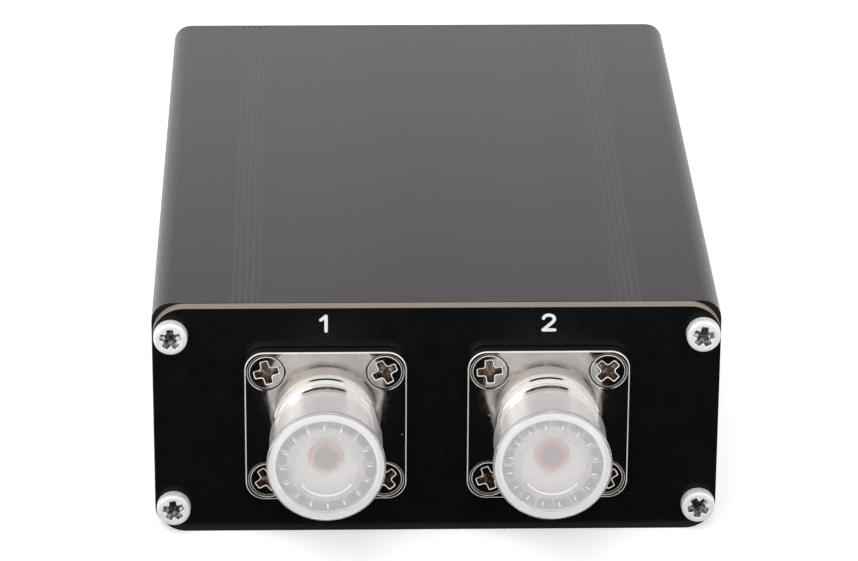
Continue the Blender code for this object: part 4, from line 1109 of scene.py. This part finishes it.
@dataclass
class Sockets:
    """Chassis sockets with square flanges, with height zero at the barrel's rim."""

    flange_side: float = 0.025
    flange_thickness: float = 0.002
    flange_corner: float = 0.003
    flange_edge: float = 0.00018
    barrel: float = 0.01366
    crest: float = 0.00794
    root: float = 0.00734
    pitch: float = 0.001058
    flank_share: float = 0.12
    crest_share: float = 0.5
    crest_end_share: float = 0.62
    thread_steps: int = 72
    neck_length: float = 0.0021
    neck: float = 0.008
    overlap: float = 0.0002
    seam: float = 0.0003
    shoulder_drop: float = 0.00035
    shoulder_rounding: float = 0.00012
    foot: float = 0.00025
    fine_step: float = 0.0001
    contact_edge: float = 0.00004
    sheen_length: float = 0.0052
    bore: float = 0.0064
    mouth: float = 0.0061
    mouth_length: float = 0.0027
    mouth_lift: float = 0.00001
    rim: float = 0.00735
    rim_drop: float = 0.0006
    spigot: float = 0.0076
    spigot_length: float = 0.0045
    spigot_rounding: float = 0.0003
    notches: int = 16
    notch_turn: float = 2.0
    notch_width: float = 0.00026
    notch_depth: float = 0.0004
    notch_length: float = 0.0036
    screw_spacing: float = 0.0182
    screw_hole: float = 0.0017
    sink_mouth: float = 0.00296
    sink_edge: float = 0.00006
    sink_from: float = 0.00008
    sink_share: float = 0.9
    finishes: tuple = (DUSTY_NICKEL, SINK_SHADE, RIM_SHADE, NOTCH_HIGHLIGHT, NICKEL_SHEEN)

    def thread(self) -> Mesh:
        """Makes the threaded rod of the barrel, from the rim down to the neck.

        Returns:
            The rod's mesh.
        """
        pitch, root, crest = self.pitch, self.root, self.crest
        length = self.barrel - self.neck_length + 0.4 * pitch
        turns = math.ceil(length / pitch) + 2
        shape = bmesh.new()
        draw_line(shape, [(root, 0.0), (root, self.flank_share * pitch), (crest, self.crest_share * pitch),
                          (crest, self.crest_end_share * pitch), (root, pitch)], False)
        bmesh.ops.spin(shape, geom=shape.verts[:] + shape.edges[:], cent=ORIGIN, axis=WORLD_Z,
                       dvec=(0.0, 0.0, pitch / self.thread_steps), angle=math.tau * turns,
                       steps=self.thread_steps * turns, use_merge=False, use_duplicate=False)
        bmesh.ops.remove_doubles(shape, verts=shape.verts[:], dist=MERGE)
        start = 1.01 * pitch
        for height, facing in ((start, -1.0), (start + length, 1.0)):
            bmesh.ops.bisect_plane(shape, geom=shape.verts[:] + shape.edges[:] + shape.faces[:], dist=1e-8,
                                   plane_co=(0.0, 0.0, height), plane_no=(0.0, 0.0, facing), clear_outer=True)
        bmesh.ops.edgeloop_fill(shape, edges=[side for side in shape.edges if side.is_boundary])
        bmesh.ops.translate(shape, verts=shape.verts[:], vec=(0.0, 0.0, -start - length))
        closed_up(shape)
        return kept("barrel_thread", shape)

    def body(self) -> Mesh:
        """Makes the socket's body in one piece.

        Returns:
            The body's mesh.
        """
        front = -self.barrel
        tail = front - self.flange_thickness - self.spigot_length
        neck_top = front + self.neck_length
        below = neck_top - self.seam
        envelope = [(0.0, 0.0), (self.rim, 0.0), (self.crest + CLEAR, -self.rim_drop), (self.crest + CLEAR, below),
                    (0.0, below)]
        flange = plate("flange", self.flange_side, self.flange_side, front, self.flange_thickness,
                       self.flange_corner, self.flange_edge, 3)
        root, fine = self.root - self.overlap, self.fine_step
        stem = [
            (0.0, neck_top + self.overlap), (root, neck_top + self.overlap), (root, neck_top - fine),
            (self.neck, neck_top - self.shoulder_drop, self.shoulder_rounding), (self.neck, front + self.foot),
            (self.neck + self.foot, front - fine), (self.spigot, front - REACH),
            (self.spigot, tail, self.spigot_rounding), (0.0, tail),
        ]
        bore = [
            (0.0, REACH), (self.mouth + fine, REACH), (self.mouth + fine, self.mouth_lift), (self.mouth, -fine),
            (self.mouth, -self.mouth_length), (self.bore, -self.mouth_length), (self.bore, tail - REACH),
            (0.0, tail - REACH),
        ]
        body = self.thread()
        for tool, way in ((turned("barrel_envelope", envelope), Joinery.KEEP), (turned("stem", stem), Joinery.JOIN),
                          (flange, Joinery.JOIN), (turned("bore", bore), Joinery.CUT),
                          (self.notch_cutter(), Joinery.CUT), (self.sink_cutter(), Joinery.CUT)):
            body = worked(body, tool, way)
        # The body's countersink walls and rim get painted shade, its neck, thread flanks and flange edge a painted
        # sheen, and its notch walls a painted highlight.
        for finish, chosen in ((SINK_SHADE, self.in_sink), (NICKEL_SHEEN, self.on_neck),
                               (NICKEL_SHEEN, self.on_flange_edge), (RIM_SHADE, self.on_rim),
                               (NOTCH_HIGHLIGHT, self.in_notch)):
            painted_by(body, self.finishes, finish, chosen)
        return body

    def in_sink(self, face: Face) -> bool:
        """Picks the sloping walls of the countersinks, which are painted dark as painted shade.

        Args:
            face: A face of the body.

        Returns:
            Whether it is one of them.
        """
        away = Vector((abs(face.center.x), abs(face.center.y))) - Vector((1.0, 1.0)) * self.screw_spacing / 2
        down = -self.barrel - face.center.z
        return self.sink_from < down < self.sink_share * self.flange_thickness and away.length < self.sink_mouth

    def on_neck(self, face: Face) -> bool:
        """Picks the plain neck, and the thread's flanks that face the flange up to the cap's edge, which get a
        painted sheen.

        Args:
            face: A face of the body.

        Returns:
            Whether it is one of them.
        """
        height = face.center.z + self.barrel
        on_stem = self.root - MERGE < face.center.xy.length < self.neck + MERGE
        level = 0.5 if height < self.neck_length - self.overlap else -0.15
        return on_stem and self.seam < height < self.sheen_length and face.normal.z < level

    def on_flange_edge(self, face: Face) -> bool:
        """Picks the rounded front edge of the flange, which is painted bright all round as a painted highlight."""
        at_rim = face.center.xy.length > self.flange_side / 2 - 2.0 * self.flange_edge
        return at_rim and -self.flange_edge < face.center.z + self.barrel < MERGE and 0.05 < face.normal.z < 0.97

    def on_rim(self, face: Face) -> bool:
        """Picks the barrel's rim with its chamfer, which is painted dark grey as painted shade."""
        return face.center.z > -self.rim_drop and face.normal.z > 0.3

    def in_notch(self, face: Face) -> bool:
        """Picks the walls of the notches, which are painted white as a painted highlight."""
        across = abs(face.normal.xy.normalized().dot(face.center.xy.normalized()))
        return -self.notch_depth < face.center.z < -MERGE and abs(face.normal.z) > 0.3 and across < 0.3

    def notch_cutter(self) -> Mesh:
        """Makes the ring of blades that cut the notches in the rim.

        Returns:
            The blades, in place.
        """
        up, wide = self.notch_depth, self.notch_width
        blade = extruded("blade", [(0.0, -up), (wide, up), (-wide, up)], 0.0, self.notch_length)
        inward = Matrix.Translation((0.0, self.mouth - REACH, 0.0)) @ UPRIGHT
        return gathered("notch_cutter", blade, [spun_by(index * 360.0 / self.notches + self.notch_turn) @ inward
                                                for index in range(self.notches)])

    def sink_cutter(self) -> Mesh:
        """Makes the four drills that widen to a cone at the flange's front.

        Returns:
            The drills, in place.
        """
        front, mouth, hole, edge = -self.barrel, self.sink_mouth, self.screw_hole, self.sink_edge
        below = front - self.flange_thickness - REACH
        drill = [(0.0, front + REACH), (mouth + edge, front + REACH), (mouth + edge, front), (mouth, front - edge),
                 (hole, front - 2.0 * edge - mouth + hole), (hole, below), (0.0, below)]
        half = self.screw_spacing / 2
        places = [Matrix.Translation((x, y, 0.0)) for x in (-half, half) for y in (-half, half)]
        return gathered("sink_cutter", turned("drill", drill, 48), places)

    def dress(self) -> None:
        """Adds both sockets with their insulators and contacts."""
        body = self.body()
        for side in ("left", "right"):
            stand_in(f"{side}_socket_body", body, self.finishes, "case", f"{side}_socket_shell", End.CONNECTOR)
            node = f"{side}_socket_insulator"
            add_piece(f"{side}_insulator", refined(node, self.fine_step), [FLUOROPOLYMER], "case", node)
            node = f"{side}_socket_contact"
            add_piece(f"{side}_centre_contact", refined(node, self.contact_edge), [BRASS], "case", node)


@dataclass
class DustCaps:
    """Soft translucent caps pushed over the barrels, with height zero at the face."""

    face: float = 0.0008
    lip: float = 0.0091
    lip_thickness: float = 0.001
    lip_edge: float = 0.00032
    lip_roundings: Pair = (0.0003, 0.0002)
    outer: float = 0.0087
    inner: float = 0.0081
    length: float = 0.0094
    skirt_rounding: float = 0.00015
    ring: float = 0.0077
    ring_slope: float = 0.0001
    dish: float = 0.0049
    dish_depth: float = 0.0002
    dish_slope: float = 0.00015
    dish_rounding: float = 0.00006
    glint_width: float = 0.00022
    ring_depth: float = 0.00003
    mark_middle: float = 0.00655
    mark_length: float = 0.00065
    mark_width: float = 0.00014
    mark_rise: float = 0.00002
    marks: int = 16
    mark_turns: tuple = (("left", 2.0), ("right", 10.0))
    finishes: tuple = (POLYTHENE, LIP_AND_GLINT_POLYTHENE, POLYTHENE_SKIRT, POLYTHENE_EDGE, SHADED_RING_POLYTHENE)

    def build(self) -> Mesh:
        """Turns the cap.

        Returns:
            The cap's mesh.
        """
        dish, ring, lip, soft = self.dish, self.ring, self.lip, self.skirt_rounding
        front, back = self.lip_roundings
        profile = [
            (0.0, -self.dish_depth), (dish - self.dish_slope, -self.dish_depth, self.dish_rounding),
            (dish, -self.ring_depth, self.dish_rounding), (ring - self.ring_slope, -self.ring_depth), (ring, 0.0),
            (lip, 0.0, front), (lip, -self.lip_thickness, back),
            (self.outer, -self.lip_thickness - self.ring_slope, soft), (self.outer, -self.length, soft),
            (self.inner, -self.length, soft), (self.inner, -self.face, back), (ring, -self.face), (0.0, -self.face),
        ]
        cap = turned("dust_cap", profile, 96)
        for finish, chosen in (
                (LIP_AND_GLINT_POLYTHENE, lambda spot, far: far > ring),
                (POLYTHENE_SKIRT, lambda spot, far: spot.z < -self.lip_thickness),
                (POLYTHENE_EDGE, lambda spot, far: far > lip - self.lip_edge),
                # The ring round the dish is painted greyer as painted shade.
                (SHADED_RING_POLYTHENE, lambda spot, far: dish < far < ring and spot.z > -self.dish_depth),
                # A thin arc at the lower inner edge of the dish gets the lip's finish as a painted glint.
                (LIP_AND_GLINT_POLYTHENE, lambda spot, far: dish - self.glint_width < far < dish and spot.y < -0.6 * dish
                 and spot.z > MERGE - self.dish_depth)):
            painted_by(cap, self.finishes, finish, lambda face: chosen(face.center, face.center.xy.length))
        return cap

    def pressed_marks(self, turn: float) -> Mesh:
        """Makes the marks that the notched rim has pressed into the face.

        Args:
            turn: Angle in degrees of the first mark.

        Returns:
            The marks' mesh.
        """
        half, middle = self.mark_length / 2, self.mark_middle
        mark = stroke(Vector((0.0, middle - half)), Vector((0.0, middle + half)), self.mark_width, self.mark_rise)
        lift = Matrix.Translation((0.0, 0.0, -self.ring_depth))
        step = 360.0 / self.marks
        return gathered("pressed_marks", mark, [spun_by(turn + step * index) @ lift for index in range(self.marks)])

    def dress(self) -> None:
        """Adds both caps on their own bodies."""
        cap = self.build()
        for side, turn in self.mark_turns:
            node = f"{side}_dust_cap"
            stand_in(f"{side}_soft_cap", cap, self.finishes, node, node, End.CONNECTOR)
            marks = placed(node, self.pressed_marks(turn), front_of(node, End.CONNECTOR))
            add_piece(f"{side}_cap_marks", marks, [PRESSED_MARK], node)


# Control end


@dataclass
class Display:
    """Small display: dark glass with its inner area, on a black base."""

    edge: float = 0.0001
    area_width: float = 0.0224
    area_height: float = 0.0056
    area_rise: float = 0.00002
    finishes: tuple = (DARK_GLASS, BLACK_MOULDING)

    def dress(self) -> None:
        """Adds the display behind its window."""
        node = "display_module"
        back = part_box(node)[1].y - REACH
        mesh = refined(node, self.edge)
        painted_by(mesh, self.finishes, BLACK_MOULDING,
                   lambda face: face.center.y < back or abs(face.normal.y) < 0.5)
        add_piece("display_glass_and_base", mesh, self.finishes, "case", node)
        area = plate("display_area", self.area_width, self.area_height, self.area_rise, self.area_rise)
        add_piece("display_area", placed(node, area, front_of(node, End.CONTROL)), [DISPLAY_AREA], "case")


@dataclass
class Buttons:
    """Round buttons with a finger dish, and the switches behind them."""

    radius: float = 0.0025
    edge: float = 0.0003
    dish: float = 0.0019
    dish_depth: float = 0.00025
    collar: float = 0.0033
    collar_top: float = -0.0038
    collar_bottom: float = -0.0046
    plunger: float = 0.0016
    tip: float = -0.00555
    rounding: float = 0.0001
    switch_edge: float = 0.0002

    def build(self) -> Mesh:
        """Turns one button, with the top of its rim at height zero.

        Returns:
            The button's mesh.
        """
        dish, depth, soft = self.dish, self.dish_depth, self.rounding
        profile = [
            (0.0, -depth), (0.45 * dish, -0.86 * depth, self.edge), (0.8 * dish, -0.4 * depth, self.edge),
            (dish, 0.0, soft), (self.radius, 0.0, self.edge), (self.radius, self.collar_top),
            (self.collar, self.collar_top, soft), (self.collar, self.collar_bottom, soft),
            (self.plunger, self.collar_bottom), (self.plunger, self.tip, soft), (0.0, self.tip),
        ]
        return turned("round_button", profile)

    def dress(self) -> None:
        """Adds the buttons on their own bodies, and their switches."""
        button = self.build()
        for number in (1, 2, 3):
            node = f"button_{number}"
            stand_in(f"round_button_{number}", button, [BUTTON_MOULDING], node, node, End.CONTROL)
            node = f"button_switch_{number}"
            add_piece(f"push_switch_{number}", refined(node, self.switch_edge), [BLACK_MOULDING], "case", node)


@dataclass
class PowerSwitch:
    """Rocker switch with its on and off marks, at rest with the off side pressed in."""

    edge: float = 0.00015
    paddle_edge: float = 0.0003
    tag_length: float = 0.0061
    mark_width: float = 0.0003
    mark_height: float = 0.0024
    mark_rise: float = 0.00002
    ring_radius: float = 0.0012
    off_middle: float = 0.0029
    on_middle: float = -0.0021
    crease: float = 0.00038
    slope: float = 20.0
    finishes: tuple = (BLACK_MOULDING, TINNED_STEEL)

    def faces(self) -> tuple[Matrix, Matrix]:
        """Gives the frames of the paddle's pressed face and of its raised face.

        Returns:
            The frame in the middle of the off face, then that of the on face, each with Z outward.
        """
        _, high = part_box("rocker")
        middle = middle_of("rocker")
        points = [vertex.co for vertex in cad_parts["rocker"].data.vertices]
        right_end = max(point.y for point in points if point.x > high.x - REACH / 2)
        slope, run = math.radians(self.slope), self.on_middle - self.crease
        off = Vector((middle.x + self.off_middle, right_end, middle.z))
        on = Vector((middle.x + self.crease + run, right_end - run * math.tan(slope), middle.z))
        outward = End.CONTROL.outward()
        return Matrix.Translation(off) @ outward, Matrix.Translation(on) @ spun_by(-self.slope) @ outward

    def dress(self) -> None:
        """Adds the housing, the paddle and the marks."""
        node = "rocker_switch_body"
        housing = refined(node, self.edge)
        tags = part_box(node)[0].y + self.tag_length
        painted_by(housing, self.finishes, TINNED_STEEL, lambda face: face.center.y < tags)
        add_piece("rocker_housing", housing, self.finishes, "case", node)
        paddle = refined("rocker", self.paddle_edge, steps=3)
        add_piece("rocker_paddle", paddle, [BUTTON_MOULDING], "rocker", "rocker")
        off, on = self.faces()
        half, rise = self.mark_width / 2, self.mark_rise
        inner, outer = self.ring_radius - half, self.ring_radius + half
        ring = turned("ring", [(inner, -rise), (outer, -rise), (outer, rise), (inner, rise)], closed=True)
        add_piece("off_mark", placed("off_mark", ring, off), [INK], "rocker")
        up = Vector((0.0, self.mark_height / 2))
        bar = stroke(-up, up, self.mark_width, rise)
        add_piece("on_mark", placed("on_mark", bar, on), [INK], "rocker")


@dataclass
class ChargingPort:
    """Charging socket: a steel shell round a black tongue with gilt contacts on both faces."""

    edge: float = 0.00005
    tongue_width: float = 0.0065
    tongue_thickness: float = 0.0007
    tongue_length: float = 0.006
    setback: float = 0.0007
    contact_width: float = 0.00026
    contact_length: float = 0.0026
    contact_rise: float = 0.00002
    contact_pitch: float = 0.0005
    contact_gap: float = 0.0003
    contacts: int = 12
    finishes: tuple = (TINNED_STEEL, BLACK_MOULDING)

    def dress(self) -> None:
        """Adds the shell with its tongue, and the contacts."""
        node = "charging_port"
        middle, mouth = middle_of(node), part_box(node)[1].y
        shell = refined(node, self.edge)
        painted_by(shell, self.finishes, BLACK_MOULDING,
                   lambda face: abs(face.center.x - middle.x) < self.tongue_width / 2 + MERGE
                   and abs(face.center.z - middle.z) < self.tongue_thickness / 2 + MERGE
                   and mouth - self.tongue_length < face.center.y < mouth - self.setback + MERGE)
        add_piece("charging_socket", shell, self.finishes, "case", node)
        contact = plate("contact", self.contact_width, self.contact_length, self.contact_rise, self.contact_rise)
        first = middle.x - (self.contacts - 1) / 2 * self.contact_pitch
        back = mouth - self.setback - self.contact_gap - self.contact_length / 2
        places = []
        for index in range(self.contacts):
            for side, flip in ((-1, math.pi), (1, 0.0)):
                spot = (first + index * self.contact_pitch, back, middle.z + side * self.tongue_thickness / 2)
                places.append(Matrix.Translation(spot) @ Matrix.Rotation(flip, 4, "Y"))
        add_piece("charging_contacts", gathered("charging_contacts", contact, places), [GILT], "case")


# Inside


@dataclass
class Inside:
    """Boards and the parts that stand on them, which keep their CAD meshes."""

    groups: tuple = (
        (GREEN_MASK, ("main_board", "control_board")),
        (RELAY_BLUE, ("capacitor_relay_bank", "inductor_relay_bank", "side_relay")),
        (ENAMELLED_COPPER, ("first_air_coil", "second_air_coil")),
        (RED_CORE, ("first_toroid", "second_toroid")),
        (FERRITE, ("coupler_core",)),
        (BLACK_MOULDING, ("microcontroller", "voltage_regulator")),
        (SLEEVE, ("filter_capacitor",)),
        (FOIL, ("battery",)),
    )

    def dress(self) -> None:
        """Gives each part its finish."""
        for finish, nodes in self.groups:
            for node in nodes:
                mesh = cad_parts[node].data
                mesh.materials.clear()
                mesh.materials.append(finish.paint())
                log.info("%s keeps its CAD mesh", node)


# Studio


@dataclass
class Studio:
    """Pale floor, soft light and the camera."""

    eye: Triple = (-0.018, -0.6737, 0.305)
    yaw: float = 1.57
    pitch: float = 23.307
    roll: float = 0.33
    lens: float = 181.8
    sensor: float = 36.0
    nearest: float = 0.01
    floor_size: Pair = (6.0, 6.0)
    floor_tones: tuple = ((0.85, 0.85, 0.85), (0.86, 0.86, 0.86))
    floor_gloss: Pair = (0.85, 0.95)
    floor_grain: float = 900.0
    floor_glow: float = 0.46
    card_tones: tuple = ((0.003, 0.003, 0.003), (0.006, 0.006, 0.0055))
    card_gloss: Pair = (0.8, 0.9)
    card_grain: float = 700.0
    sky: float = 0.6

    def camera(self) -> None:
        """Sets the camera at the photograph's viewing angle."""
        yaw, pitch, roll = (math.radians(angle) for angle in (self.yaw, self.pitch, self.roll))
        forward = Vector((math.sin(yaw) * math.cos(pitch), math.cos(yaw) * math.cos(pitch), -math.sin(pitch)))
        right = Vector((math.cos(yaw), -math.sin(yaw), 0.0))
        across = math.cos(roll) * right + math.sin(roll) * right.cross(forward)
        turn = Matrix((across, across.cross(forward), -forward)).transposed().to_4x4()
        data = bpy.data.cameras.new("camera")
        data.lens = self.lens
        data.sensor_width = self.sensor
        data.clip_start = self.nearest
        camera = linked("camera", data)
        camera.matrix_world = Matrix.Translation(self.eye) @ turn
        bpy.context.scene.camera = camera

    def seen_straight(self, sheet: NodeSheet) -> Socket:
        """Gives 1 where a camera, mirror or glass ray arrives.

        Args:
            sheet: Node sheet to add the nodes to.

        Returns:
            The socket of that value.
        """
        rays = sheet.tree.nodes.new("ShaderNodeLightPath").outputs
        mirrored = sheet.larger(rays["Is Camera Ray"], rays["Is Glossy Ray"])
        return sheet.larger(mirrored, rays["Is Transmission Ray"])

    def world(self) -> None:
        """Makes the sky plain white to the eye and softer as a light."""
        world = bpy.data.worlds.new("studio")
        sheet = NodeSheet(world, "Background", "OutputWorld")
        level = sheet.spread(self.seen_straight(sheet), WHOLE, (self.sky, 1.0))
        sheet.fill(sheet.shader, {"Color": WHITE, "Strength": level})
        bpy.context.scene.world = world

    def flat(self, name: str, size: Pair, place: Matrix, oval: bool, tones: tuple[Colour, Colour], gloss: Pair,
             grain: float) -> tuple[bpy.types.Object, NodeSheet]:
        """Adds a flat matt sheet that isn't part of the object.

        Args:
            name: Name of the sheet.
            size: Its width and its depth.
            place: Frame in its middle.
            oval: Whether it is oval.
            tones: The two colours that it wanders between.
            gloss: The two values of its roughness.
            grain: Features of its pattern per metre.

        Returns:
            The sheet's object, and the nodes of its material.
        """
        shape = bmesh.new()
        scaled = place @ Matrix.Diagonal((*size, 1.0, 1.0))
        if oval:
            bmesh.ops.create_circle(shape, cap_ends=True, segments=64, radius=0.5, matrix=scaled)
        else:
            bmesh.ops.create_grid(shape, x_segments=2, y_segments=2, size=0.5, matrix=scaled)
        thing = linked(name, kept(name, shape))
        material = bpy.data.materials.new(name)
        sheet = NodeSheet(material)
        fine = sheet.noise(sheet.place(), grain)
        sheet.fill(sheet.shader, {"Base Color": sheet.blend(fine, *tones), "Specular IOR Level": 0.0,
                                  "Roughness": sheet.spread(fine, GRAIN_MIDDLE, gloss)})
        thing.data.materials.append(material)
        return thing, sheet

    def floor(self) -> None:
        """Lays the pale floor, which looks white and keeps the object's shadow."""
        _, sheet = self.flat("floor", self.floor_size, Matrix(), False, self.floor_tones, self.floor_gloss,
                             self.floor_grain)
        glow = sheet.spread(self.seen_straight(sheet), WHOLE, (0.0, self.floor_glow))
        sheet.fill(sheet.shader, {"Emission Color": WHITE, "Emission Strength": glow})

    def card(self, name: str, size: Pair, place: Triple, tilt: float, oval: bool) -> None:
        """Sets up a dark card that only bright metal mirrors.

        Args:
            name: Name of the card.
            size: Its width and its depth.
            place: Its middle.
            tilt: Angle in degrees by which its front edge is turned up.
            oval: Whether it is oval.
        """
        middle = Matrix.Translation(place) @ Matrix.Rotation(math.radians(-tilt), 4, "X")
        card, _ = self.flat(name, size, middle, oval, self.card_tones, self.card_gloss, self.card_grain)
        for rays in ("camera", "diffuse", "shadow", "transmission"):
            setattr(card, f"visible_{rays}", False)

    def lamp(self, name: str, power: float, size: float, place: Triple, aim: Triple, mirrored: bool) -> None:
        """Hangs one soft lamp.

        Args:
            name: Name of the lamp.
            power: Its power in watts.
            size: Side of its square face.
            place: Where it hangs.
            aim: Where it points.
            mirrored: Whether bright metal shows it.
        """
        data = bpy.data.lights.new(name, "AREA")
        data.energy = power
        data.size = size
        lamp = linked(name, data)
        lamp.visible_glossy = mirrored
        away = (Vector(place) - Vector(aim)).to_track_quat("Z", "Y").to_matrix().to_4x4()
        lamp.matrix_world = Matrix.Translation(place) @ away

    def dress(self) -> None:
        """Sets up the whole studio."""
        self.world()
        self.floor()
        self.card("floor_card", (0.25, 0.239), (0.015, -0.1855, 0.0004), 0.0, False)
        self.card("camera_card", (1.4, 0.17), (0.0, -0.97, 0.79), 130.0, True)
        self.card("ceiling_card", (1.2, 0.5), (0.0, -0.3, 1.0), 180.0, True)
        self.card("backdrop_card", (1.4, 0.5), (0.0, 0.26, 0.42), 90.0, False)
        self.lamp("key_lamp", 5.7, 0.9, (-0.3, -0.25, 1.1), ORIGIN, False)
        self.lamp("fill_lamp", 3.4, 0.8, (0.3, -0.9, 0.7), (0.0, -0.05, 0.02), False)
        self.lamp("window_lamp", 1.5, 0.7, (-0.62, -1.05, 0.3), (0.0, -0.07, 0.02), True)
        self.camera()
        bpy.context.scene.view_settings.view_transform = "Standard"
        log.info("studio ready")


def main() -> None:
    """Builds the whole picture in order."""
    logging.basicConfig(level=logging.INFO, format="%(name)s: %(message)s")
    for assembly in (Studio(), Case(), EndPanels(), CornerScrews(), FlangeScrews(), Sockets(), DustCaps(),
                     Display(), Buttons(), PowerSwitch(), ChargingPort(), Inside()):
        assembly.dress()


if __name__ == "__main__":
    main()
